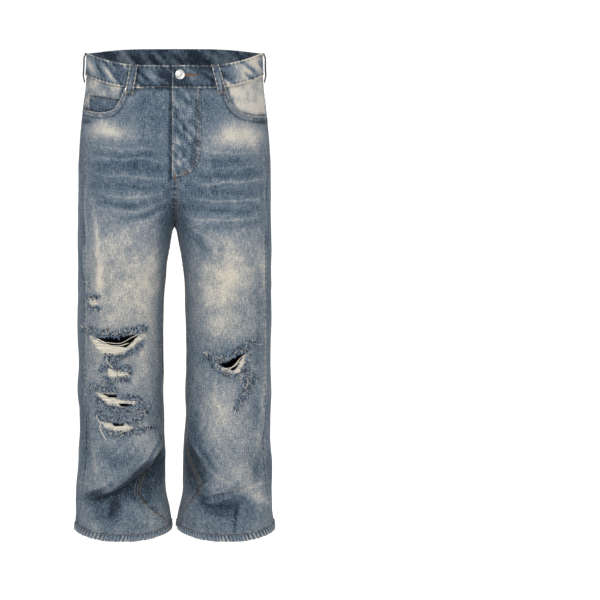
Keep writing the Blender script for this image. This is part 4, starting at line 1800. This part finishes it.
class JEANS_OT_coin_pocket(Piece):
    """Lay the coin pocket on the wearer's right facing"""
    bl_idname = "jeans.coin_pocket"
    bl_label = "Coin Pocket"

    def make(self):
        def wear(points, edge, rope):
            x, z = points[..., 0], points[..., 2]
            d = np.abs(near(x, z, MOUTHS["right"])[0])
            fade = 0.40 + 0.20 * rope * bell(edge - 3, 3)
            fade = fade + 0.46 * bell(edge - 0.5, 2.2) - 0.24 * bell(edge - 5, 1.6)
            fade = fade + 0.12 * noise2(x, z, 10, 99) - 0.30 * bell(d, 5)
            return fade, np.clip(fade - 0.4, 0, 0.4)

        piece = patch("coin_pocket", COIN_OUTLINE, "front", ["pocket_facing_right"], 0.2, 0.9, wear)
        self.done(piece, ["coin_pocket"])


class JEANS_OT_back_pockets(Piece):
    """Lay the two back pockets on the back panels"""
    bl_idname = "jeans.back_pockets"
    bl_label = "Back Pockets"

    def make(self):
        def wear(points, edge, rope):
            fade, cream = painted(points, "back")
            _, bare, blue = rough_edges(points, "back")
            fade = 0.50 + fade + 0.16 * rope * bell(edge - 6, 3) + 1.2 * seam_band(edge)
            fade = fade + 0.05 * noise2(points[..., 0], points[..., 2], 12, 94)
            fade = fade * (1 - 0.6 * blue) + 0.34 * blue
            return fade * (1 - bare) + 0.95 * bare, cream

        for side, outline in BACK_POCKETS.items():
            name = "back_pocket_" + side
            piece = patch(name, outline, "back", ["back_panel_" + side], 0.3, 1.6, wear, spacing=2.8)
            self.done(piece, [name])


class JEANS_OT_patch(Piece):
    """Sew the plain leather patch over the waistband"""
    bl_idname = "jeans.leather_patch"
    bl_label = "Leather Patch"

    def make(self):
        first = round(((HALF_WAIST + 96 - LAP_EDGE) / BAND_LENGTH) * 64)
        start, end = [LAP_EDGE + BAND_LENGTH * (first + k) / 64 for k in (0, 6)]
        top, bottom = WAISTBAND_HEIGHT / 2 - 0.5, WAIST_LEVEL - 16
        rows, columns = 34, 40
        u = np.linspace(0, 1, columns)[None, :]
        v = np.linspace(0, 1, rows)[:, None]
        # Rounded corners pull in a little, and the edges are worn thin.
        edge = np.minimum(np.minimum(u, 1 - u) * (end - start), np.minimum(v, 1 - v) * (top - bottom))
        corner = 1.6 * np.exp(-(np.minimum(u, 1 - u) * 75 / 2.5 + np.minimum(v, 1 - v) * 64 / 2.5))
        along = start + (end - start) * u + corner * np.where(u < 0.5, 1, -1)
        above = top + (bottom - top) * v - corner * np.where(v < 0.5, 1, -1)
        body = 2.4 + 0.5 * noise2(along, above, 30, 101) + 0.2 * noise2(along, above, 9, 102)
        body = body - 0.8 * bell(edge, 0.9) - 0.3 * bell(edge - 3.2, 0.9)
        outer = waist_point(along, above, BAND_HALF + body)
        inner = waist_point(along, above, BAND_HALF + 0.3 + 0 * body)
        keep = np.ones((rows - 1, columns - 1), bool)
        uv = on_cut(along, above)
        leather = leather_material()
        piece = shell("leather_patch", outer, inner, keep, [leather, leather], uv, {})
        UNCUT["leather_patch"] = (outer, tree_of(outer))
        self.done(piece, ["leather_patch"], "leather")


def turned_part(name, profile, centre, axis, made_of, steps=56):
    """A turned part: a profile of (radius, height), smoothed and spun round its axis."""
    profile = np.array(curved(*profile, steps=5))
    profile[:, 0] = np.maximum(profile[:, 0], 0.02)
    angle = np.linspace(0, 2 * math.pi, steps, endpoint=False)
    ring = np.stack([np.cos(angle), np.sin(angle), 0 * angle], -1)
    points = ring[None] * profile[:, 0, None, None] + np.array([0, 0, 1.0]) * profile[:, 1, None, None]
    turn = Vector((0, 0, 1)).rotation_difference(Vector(axis)).to_matrix()
    points = points.reshape(-1, 3) @ np.array(turn).T + np.asarray(centre)
    n = len(profile)
    faces = [(i * steps + k, i * steps + (k + 1) % steps,
              (i + 1) * steps + (k + 1) % steps, (i + 1) * steps + k)
             for i in range(n - 1) for k in range(steps)]
    faces += [tuple(range(steps))[::-1], tuple((n - 1) * steps + k for k in range(steps))]
    return new_object(name + "_turned", points, faces, [made_of])


class JEANS_OT_hardware(Piece):
    """Turn the shank button and the two pocket rivets"""
    bl_idname = "jeans.hardware"
    bl_label = "Button and Rivets"

    def make(self):
        metal = metal_material()
        for name in ("button", "rivet_left", "rivet_right"):
            low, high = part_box(name)
            middle = (np.array(low) + np.array(high)) / 2 / MM
            if name == "button":
                profile = [(0.1, -2), (5, -2), (5, 0.4), (8.8, 0.8), (9.9, 1.5), (9.9, 2.3), (9.2, 3.1),
                           (7.9, 3.5), (7.0, 3.1), (5.0, 3.0), (2.0, 3.3), (0.1, 3.4)]
            else:
                profile = [(0.1, -1.5), (3.8, -1.5), (4.4, -0.2), (4.3, 0.4), (3.3, 1.1), (1.9, 1.4),
                           (1.4, 1.0), (0.1, 0.9)]
            tree_names = ["waistband"] if name == "button" else ["front_panel_" + name.split("_")[1]]
            foot, normal = lay([UNCUT[n][1] for n in tree_names], middle[:1], middle[2:], "front")
            stand = 1.6 if name == "button" else 0.5
            piece = turned_part(name, profile, foot[0] + normal[0] * stand, normal[0], metal)
            self.done(piece, [name], "metal")


# ---- Top-stitching ----
def laid_line(corners, atlas, on, step=2.5):
    """A line of (x, z) corners laid on pieces, as points and normals close together."""
    c = np.array(corners, float)
    gone = np.concatenate([[0], np.cumsum(np.hypot(*np.diff(c, axis=0).T))])
    at = np.linspace(0, gone[-1], max(2, int(gone[-1] / step)))
    x, z = np.interp(at, gone, c[:, 0]), np.interp(at, gone, c[:, 1])
    return lay([UNCUT[n][1] for n in on], x, z, atlas)


def beside(line, distance):
    """A line moved sideways, towards its left when positive."""
    p = np.array(line, float)
    d = np.gradient(p, axis=0)
    d /= np.maximum(np.hypot(d[:, 0], d[:, 1])[:, None], 1e-9)
    return [tuple(q) for q in p + distance * np.stack([-d[:, 1], d[:, 0]], -1)]


def inset(outline, distance):
    """A closed outline moved inwards, with its corners kept."""
    p = np.array(outline, float)
    before, after = p - np.roll(p, 1, 0), np.roll(p, -1, 0) - p
    before /= np.hypot(*before.T)[:, None]
    after /= np.hypot(*after.T)[:, None]
    n1 = np.stack([-before[:, 1], before[:, 0]], -1)
    n2 = np.stack([-after[:, 1], after[:, 0]], -1)
    corner = n1 + n2
    corner /= np.maximum((corner * n1).sum(1), 0.5)[:, None]
    x, z = p.T
    area = (x * np.roll(z, -1) - np.roll(x, -1) * z).sum()
    moved = p + corner * distance * (1 if area > 0 else -1)
    return [tuple(q) for q in np.concatenate([moved, moved[:1]])]


def seam_line(side, at_front, away, top, bottom, outer=False):
    """A line so many millimetres away from a leg seam, on the panel's own grid."""
    name = f"{'front' if at_front else 'back'}_panel_{side}"
    points = UNCUT[name][0]
    normal = outward_grid(side, points)
    from_out, from_in, levels = SEAM_DISTANCE[name]
    found, normals = [], []
    for row in range(len(points)):
        if not bottom <= levels[row, 0] <= top:
            continue
        d = (from_out if outer else from_in)[row]
        order = np.argsort(d)
        found.append([np.interp(away, d[order], points[row, order, k]) for k in range(3)])
        normals.append([np.interp(away, d[order], normal[row, order, k]) for k in range(3)])
    return found, normals


class JEANS_OT_stitching(Piece):
    """Sew the top-stitching, the bartacks and the buttonhole"""
    bl_idname = "jeans.stitching"
    bl_label = "Top-stitching"

    def sew(self, name, on, runs, colour="thread", pitch=None, **sizes):
        colours = bpy.context.scene.jeans_colours
        thread = thread_material("stitch_" + colour, getattr(colours, colour))
        pitch = pitch or bpy.context.scene.jeans_cloth.stitch_pitch / MM
        piece = stitches("stitches_" + name, runs, thread, pitch, **sizes)
        piece["sewn_to"] = on
        return self.done(piece, [], "denim")

    def tack(self, middle, direction, atlas, on, width, length):
        """A bartack: short threads packed side by side across a line."""
        d = np.array(direction, float) / np.hypot(*direction)
        across = np.array([-d[1], d[0]])
        runs = []
        for s in np.arange(-length / 2, length / 2, 1.0):
            a, b = [np.array(middle) + d * s + across * k * width / 2 for k in (-1, 1)]
            p, n = lay([UNCUT[o][1] for o in on], [a[0], b[0]], [a[1], b[1]], atlas)
            runs.append((p + n * 0.3, n))
        return runs

    def make(self):
        length = np.arange(LAP_EDGE + 2.5, 2 * HALF_WAIST - 8, 2.5)
        runs = []
        for above in (BAND_STITCH, -BAND_STITCH):
            relief = band_relief(length, above + 0 * length)[0]
            points = waist_point(length, above, BAND_HALF + relief)
            runs.append((points, outward_of_waist(length, above)))
        end = np.linspace(20, -20, 14)
        runs.append((waist_point(LAP_EDGE + 2.5, end, BAND_HALF + 0.1),
                     outward_of_waist(LAP_EDGE + 2.5 + 0 * end, end)))
        self.sew("waistband", "waistband_sewn", runs)

        fly_on = ["fly", *FRONTS]
        runs = []
        for outer in (3.0, 9.0):
            line = curved((53 - outer, -44), (53 - outer, -110), (53 - outer, -172), (50 - outer * 0.9, -192),
                          (40 - outer * 0.5, -210 + outer * 0.5), (26 - outer * 0.2, -222 + outer * 0.8),
                          (12, -226.5 + outer))
            runs.append(laid_line(line, "front", fly_on))
        runs.append(laid_line([(-2.5, -44), (-2.5, -226)], "front", fly_on))
        for x in (3.0, 8.5):
            runs.append(laid_line([(x, -234), (x, -280), (x * 0.8, -318)], "front", FRONTS))
        self.sew("fly", "fly_sewn", runs)

        runs = []
        for side in SIDES:
            line = [p for p in MOUTHS[side] if abs(p[0]) < 186]
            for away in (2.2, 8.2):
                sign = 1 if side == "right" else -1
                path = beside(curved(*line, steps=3), sign * away)
                runs.append(laid_line(path, "front", ["front_panel_" + side]))
        self.sew("pocket_mouths", "front_panel_left_sewn", runs)

        runs = []
        for drop in (2.2, 8.0):
            path = [(-106, -72 - drop), (-140, -66 - drop), (-175, -60.5 - drop)]
            runs.append(laid_line(path, "front", ["coin_pocket"]))
        for inwards in (2.2, 7.5):
            runs.append(laid_line([(-104 - inwards, -74), (-104 - inwards, -112)], "front", ["coin_pocket"]))
        self.sew("coin_pocket", "coin_pocket_sewn", runs)

        for side, outline in BACK_POCKETS.items():
            on = ["back_pocket_" + side]
            runs = [laid_line(inset(outline, 2.2), "back", on)]
            inner = inset(outline, 8.2)
            runs.append(laid_line(inner, "back", on))
            if side == "left":
                mids = [[(175, -189), (158, -194), (140, -192), (120, -190), (104, -188), (90, -187)],
                        [(175, -193), (158, -196.5), (140, -193), (124, -189), (106, -184), (90, -182)]]
            else:
                mids = [[(-66, -189), (-84, -193), (-106, -195), (-134, -192), (-154, -195), (-174, -198)],
                        [(-66, -193), (-86, -195), (-106, -193), (-132, -188), (-154, -190), (-174, -198)]]
            runs += [laid_line(curved(*m), "back", on) for m in mids]
            self.sew("back_pocket_" + side, "back_pocket_%s_sewn" % side, runs)

        runs = []
        for side in SIDES:
            for name, row in (("back_panel_" + side, 1), ("yoke_" + side, -3)):
                rows = UNCUT[name][0]
                runs.append((rows[row, 2:-2], outward_grid(side, rows)[row, 2:-2]))
        self.sew("yokes", "yoke_left_sewn", runs)
        backs = ["back_panel_left", "back_panel_right", "yoke_left", "yoke_right"]
        self.sew("centre_back", "back_panel_right_sewn", [
            laid_line([(x, -30), (x, -120), (x * 1.1, -230), (x * 0.9, -318)], "back", backs)
            for x in (-2.6, -9.0)
        ])

        for side in SIDES:
            runs = [seam_line(side, True, d, CROTCH - 4, HEM_EDGE + 16) for d in (2.6, 9.0)]
            runs.append(seam_line(side, False, 2.6, CROTCH - 4, HEM_EDGE + 16))
            runs.append(seam_line(side, True, 3.0, -110, -240, outer=True))
            self.sew("legs_" + side, "front_panel_%s_sewn" % side, runs)

        for side in SIDES:
            ring = UNCUT["hem_" + side][0][:, 1]
            middle = ring.mean(0)
            out = ring - middle
            out[:, 2] = 0
            out = unit(out)
            self.sew("hem_" + side, "hem_%s_sewn" % side, [(ring + out * 0.1, out)])

        runs = []
        for name in LOOPS:
            share = np.linspace(0.03, 0.97, 22)
            for across in (-4.6, 4.6):
                p = loop_point(name, across, share, 2.0)
                q = loop_point(name, across, share, 3.0)
                runs.append((p, q - p))
        self.sew("belt_loops", "waistband_sewn", runs)
        runs = []
        for name in LOOPS:
            for share in (0.035, 0.065, 0.93, 0.96):
                across = np.linspace(-6.2, 6.2, 8)
                p, q = loop_point(name, across, share, 2.1), loop_point(name, across, share, 3.0)
                runs.append((p, q - p))
        self.sew("loop_tacks", "waistband_sewn", runs, "thread", pitch=1.6, length=1.9)

        runs = self.tack((1.5, -232), (0.15, -1), "front", fly_on, 5, 14)
        runs += self.tack((22, -223), (0.9, 0.45), "front", fly_on, 3.5, 9)
        for x, z in ((-187, -94), (186, -104)):
            runs += self.tack((x * 0.975, z), (0, 1), "front", FRONTS, 3.5, 7)
        for side, outline in BACK_POCKETS.items():
            for corner in (outline[0], outline[8]):
                toward = np.array([sum(p[0] for p in outline) / len(outline) - corner[0], -20])
                spot = np.array(corner) + 4 * toward / np.hypot(*toward)
                runs += self.tack(spot, (1, -0.1), "back", ["back_pocket_" + side], 4, 8)
        self.sew("bartacks", "fly_sewn", runs, "tack", pitch=20, length=4.2, radius=0.5)

        # The buttonhole: a slit under the button's far side, whipped all round in orange thread.
        runs = []
        slit = np.linspace(13, 46, 31)
        taper = 4.2 * (1 - (slit - 13) / 38)
        for sign in (-1, 1):
            for at, half in zip(slit, taper):
                a = waist_point(at, 3.0 + sign * 0.7, BAND_HALF + 0.9)
                b = waist_point(at, 3.0 + sign * max(half, 1.2), BAND_HALF + 0.7)
                n = outward_of_waist(np.array([at, at]), np.array([3.0, 3.0]))
                runs.append(([a, b], n))
        self.sew("buttonhole", "waistband_sewn", runs, "tack", pitch=20, length=3.2, radius=0.62)


def outward_of_waist(length, above):
    a = waist_point(length, above, 2.0) - waist_point(length, above, 1.0)
    return unit(a)


def outward_grid(side, points):
    normal = grid_normals(points)
    hint = points - np.array([SIDES[side] * 60.0, 0, 0])
    hint[..., 2] = 0
    return normal * np.sign((normal * hint).sum())


# ---- Rips: bare weft, fringes and loose threads ----
def over_hole(x, z, atlas):
    hit = np.zeros(np.shape(x), bool)
    for outline in HOLES[atlas]:
        hit |= inside(x, z, outline)
    return hit


def weft_strands(atlas, on, rng):
    """Strands of bare weft that run across the worn patches."""
    lines = []
    for outline in BARE[atlas]:
        p = np.array(outline, float)
        for z in np.arange(p[:, 1].min() + 0.6, p[:, 1].max(), 1.9):
            x = np.arange(p[:, 0].min(), p[:, 0].max(), 1.5)
            slope = rng.uniform(-0.05, 0.05)
            hit = from_edge(x, z + slope * (x - x.mean()), outline) > 0.2
            hit &= ~over_hole(x, np.full(x.shape, z), atlas)
            edges = np.flatnonzero(np.diff(np.concatenate([[0], hit.astype(int), [0]])))
            for a, b in edges.reshape(-1, 2):
                if b - a < 3:
                    continue
                xs = np.linspace(x[a] - rng.uniform(0, 2), x[b - 1] + rng.uniform(0, 2), max(4, (b - a) // 2))
                zs = z + slope * (xs - x.mean()) + rng.normal(0, 0.35, len(xs))
                q, n = lay(on, xs, zs, atlas)
                lines.append(q + n * (0.5 + 0.5 * rng.random(len(xs)))[:, None])
    return lines


def fringe(atlas, on, rng, share, spread=1.0):
    """Short threads that stick out of the frayed edges."""
    lines = []
    for line, sign, length in FRAYS[atlas]:
        c = np.array(line, float)
        gone = np.concatenate([[0], np.cumsum(np.hypot(*np.diff(c, axis=0).T))])
        for at in np.arange(1.0, gone[-1] - 0.5, 0.95 / share):
            x, z = np.interp(at, gone, c[:, 0]), np.interp(at, gone, c[:, 1])
            ahead = (np.interp(at + 1, gone, c[:, 0]) - np.interp(at - 1, gone, c[:, 0]),
                     np.interp(at + 1, gone, c[:, 1]) - np.interp(at - 1, gone, c[:, 1]))
            away = math.atan2(ahead[0], -ahead[1]) + rng.normal(0, 0.75)
            away += math.pi if rng.random() < 0.35 else 0
            if sign < 0:
                away += math.pi
            size = length * rng.uniform(0.6, 1.7) * spread
            x += rng.normal(0, 0.34 * length)
            z += rng.normal(0, 0.42 * length)
            t = np.linspace(0, 1, 4)
            bend = rng.normal(0, 0.35)
            xs = x + size * t * math.cos(away) + bend * size * t * t * math.sin(away)
            zs = z + size * t * math.sin(away) - bend * size * t * t * math.cos(away)
            lean = rng.uniform(0.3, 2.6)
            if over_hole(xs, zs, atlas).sum() > 1 and rng.random() < 0.8:
                continue
            q, n = lay(on, xs, zs, atlas)
            lines.append(q + n * (0.4 + t * lean)[:, None])
    return lines


class JEANS_OT_rips(Piece):
    """Fray the rips: bare weft, fringes and loose threads"""
    bl_idname = "jeans.rips"
    bl_label = "Frayed Rips"

    def make(self):
        colours = bpy.context.scene.jeans_colours
        cream = thread_material("weft_yarn", colours.weft, 0.2)
        blue = thread_material("fray_yarn", colours.fray, 0.55)
        deep = thread_material("dark_fray_yarn", colours.unwashed, 0.5)
        pale = thread_material("pale_fray_yarn", colours.bare, 0.3)
        rng = np.random.default_rng(7)
        for atlas in ("front", "back"):
            names = [f"{atlas}_panel_{s}" for s in SIDES]
            if atlas == "back":
                names += ["back_pocket_left", "back_pocket_right", "hem_left", "hem_right"]
            on = [UNCUT[n][1] for n in names]
            owner = f"{atlas}_panel_right_sewn"
            strands = weft_strands(atlas, on, rng)
            if atlas == "back":
                # Slanted strands still hold across the outer half of the tear behind the thigh.
                for k in range(34):
                    x = -132 - 54 * (k / 33) ** 0.8 + rng.normal(0, 1.5)
                    low = -400 + rng.normal(0, 2)
                    high = -360 - 3 * rng.random()
                    t = np.linspace(0, 1, 7)
                    xs = x + (12 + rng.normal(0, 5)) * (1 - t) - 12 * t + 1.5 * np.sin(t * 5 + k)
                    zs = low + (high - low) * t
                    q, n = lay(on, xs, zs, atlas)
                    strands.append(q + n * (0.3 + 1.2 * np.sin(math.pi * t) * rng.random())[:, None])
            for line in LOOSE[atlas]:
                p = np.array(curved(*line, steps=5))
                q, n = lay(on, p[:, 0], p[:, 1], atlas)
                strands.append(q + n * 1.4)
            fringes = ((fringe(atlas, on, rng, 0.9, 0.9), pale), (fringe(atlas, on, rng, 2.4, 1.0), blue),
                       (fringe(atlas, on, rng, 1.9, 0.8), deep))
            for name, lines, low, high, thread in (
                    (f"weft_{atlas}", strands, 0.42, 0.66, cream),
                    (f"white_fringe_{atlas}", fringes[0][0], 0.38, 0.62, pale),
                    (f"blue_fringe_{atlas}", fringes[1][0], 0.34, 0.60, blue),
                    (f"dark_fringe_{atlas}", fringes[2][0], 0.40, 0.70, deep)):
                piece = tubes(name, lines, rng.uniform(low, high, len(lines)), thread, 4)
                piece["sewn_to"] = owner
                self.done(piece, [], "denim")


# The cut size of every cloth piece: flat width and length in metres, and its area in square metres.
CUTS = {
    "front_panel": ((0.26, 0.97), 0.205),
    "back_panel": ((0.37, 0.91), 0.300),
    "yoke": ((0.23, 0.075), 0.0125),
    "waistband": ((0.92, 0.050), None),
    "hem": ((0.62, 0.018), None),
    "fly": ((0.058, 0.19), 0.0100),
    "pocket_facing": ((0.14, 0.115), 0.0145),
    "coin_pocket": ((0.073, 0.068), 0.0045),
    "back_pocket": ((0.118, 0.175), 0.0175),
    "belt_loop": ((0.016, 0.066), None),
}


def declare_cloth():
    """States the cut of every piece of cloth, and how it is held."""
    for name in [o.name for o in bpy.data.objects if o.type == "MESH"]:
        kind = next((k for k in CUTS if name.startswith(k)), None)
        if kind is None:
            continue


class JEANS_OT_stage(bpy.types.Operator):
    """Set up the pale floor, the soft studio lights and the camera"""
    bl_idname = "jeans.stage"
    bl_label = "Stage"

    def execute(self, context):
        setting = context.scene.jeans_stage
        profile = [(-6.0, 0.0), (4.0, 0.0)]
        profile += [(4.0 + 1.2 * math.sin(a), 1.2 - 1.2 * math.cos(a))
                    for a in np.linspace(0.15, math.pi / 2, 10)]
        profile += [(5.2, 6.0)]
        points, faces = [], []
        for i, (y, z) in enumerate(profile):
            for x in (-7.0, 7.0):
                points.append((x / MM, y / MM, (z - 1.30) / MM))
            if i:
                faces.append((2 * i - 2, 2 * i - 1, 2 * i + 1, 2 * i))
        floor = new_object("paper_backdrop", np.array(points), faces, [floor_material()])
        for name, spot, size, power, aim in (
                ("key_light", (-1.7, -3.2, 2.3), 1.5, 108, (0, 0, -0.4)),
                ("fill_light", (2.6, -3.0, 0.6), 2.4, 42, (0, 0, -0.6)),
                ("low_light", (0.3, -3.4, -0.9), 1.6, 10, (0, 0, -0.8)),
                ("rim_light", (0.6, 2.2, 2.6), 2.0, 40, (0, 0, -0.3)),
                ("backdrop_light", (0.8, 2.4, 3.6), 4.0, 150, (0.4, 4.8, -0.4))):
            light = bpy.data.lights.new(name, "AREA")
            light.energy, light.size = power, size
            lamp = bpy.data.objects.new(name, light)
            lamp.location = spot
            lamp.rotation_euler = (Vector(aim) - Vector(spot)).to_track_quat("-Z", "Y").to_euler()
            context.collection.objects.link(lamp)
        world = bpy.data.worlds.new("studio")
        world.use_nodes = True
        world.node_tree.nodes["Background"].inputs[0].default_value = (1, 1, 1, 1)
        world.node_tree.nodes["Background"].inputs[1].default_value = 0.44
        context.scene.world = world
        context.scene.view_settings.view_transform = "Standard"
        view = bpy.data.cameras.new("camera")
        view.sensor_width, view.lens, view.shift_x = 36, setting.lens, 0.209
        view.clip_end = 30
        camera = bpy.data.objects.new("camera", view)
        pitch = math.radians(5.0)
        aim = Vector((0, 0, -0.490))
        back, up = setting.distance * math.cos(pitch), setting.distance * math.sin(pitch)
        camera.location = aim + Vector((0, -back, up))
        camera.rotation_euler = (math.pi / 2 - pitch, 0, 0)
        context.collection.objects.link(camera)
        context.scene.camera = camera
        return {"FINISHED"}


PIECES = [
    JEANS_OT_panels, JEANS_OT_yokes, JEANS_OT_waistband, JEANS_OT_hems, JEANS_OT_facings,
    JEANS_OT_coin_pocket, JEANS_OT_fly, JEANS_OT_back_pockets, JEANS_OT_belt_loops, JEANS_OT_patch,
    JEANS_OT_hardware, JEANS_OT_stitching, JEANS_OT_rips,
]


class JEANS_PT_panel(bpy.types.Panel):
    """Lists the jeans' settings and pieces"""
    bl_idname = "JEANS_PT_panel"
    bl_label = "Ripped Jeans"
    bl_space_type = "VIEW_3D"
    bl_region_type = "UI"
    bl_category = "Jeans"

    def draw(self, context):
        for setting in (context.scene.jeans_cloth, context.scene.jeans_colours, context.scene.jeans_stage):
            for key in setting.__annotations__:
                self.layout.prop(setting, key)
        for kind in [*PIECES, JEANS_OT_stage]:
            self.layout.operator(kind.bl_idname)


SETTINGS = {"jeans_cloth": JeansCloth, "jeans_colours": JeansColours, "jeans_stage": JeansStage}


def register():
    for kind in [*SETTINGS.values(), *PIECES, JEANS_OT_stage, JEANS_PT_panel]:
        bpy.utils.register_class(kind)
    for key, kind in SETTINGS.items():
        setattr(bpy.types.Scene, key, bpy.props.PointerProperty(type=kind))


def unregister():
    for key in SETTINGS:
        delattr(bpy.types.Scene, key)
    for kind in reversed([*SETTINGS.values(), *PIECES, JEANS_OT_stage, JEANS_PT_panel]):
        bpy.utils.unregister_class(kind)


def main():
    register()
    for kind in [*PIECES, JEANS_OT_stage]:
        area, action = kind.bl_idname.split(".")
        getattr(getattr(bpy.ops, area), action)()
    declare_cloth()


if __name__ == "__main__":
    main()
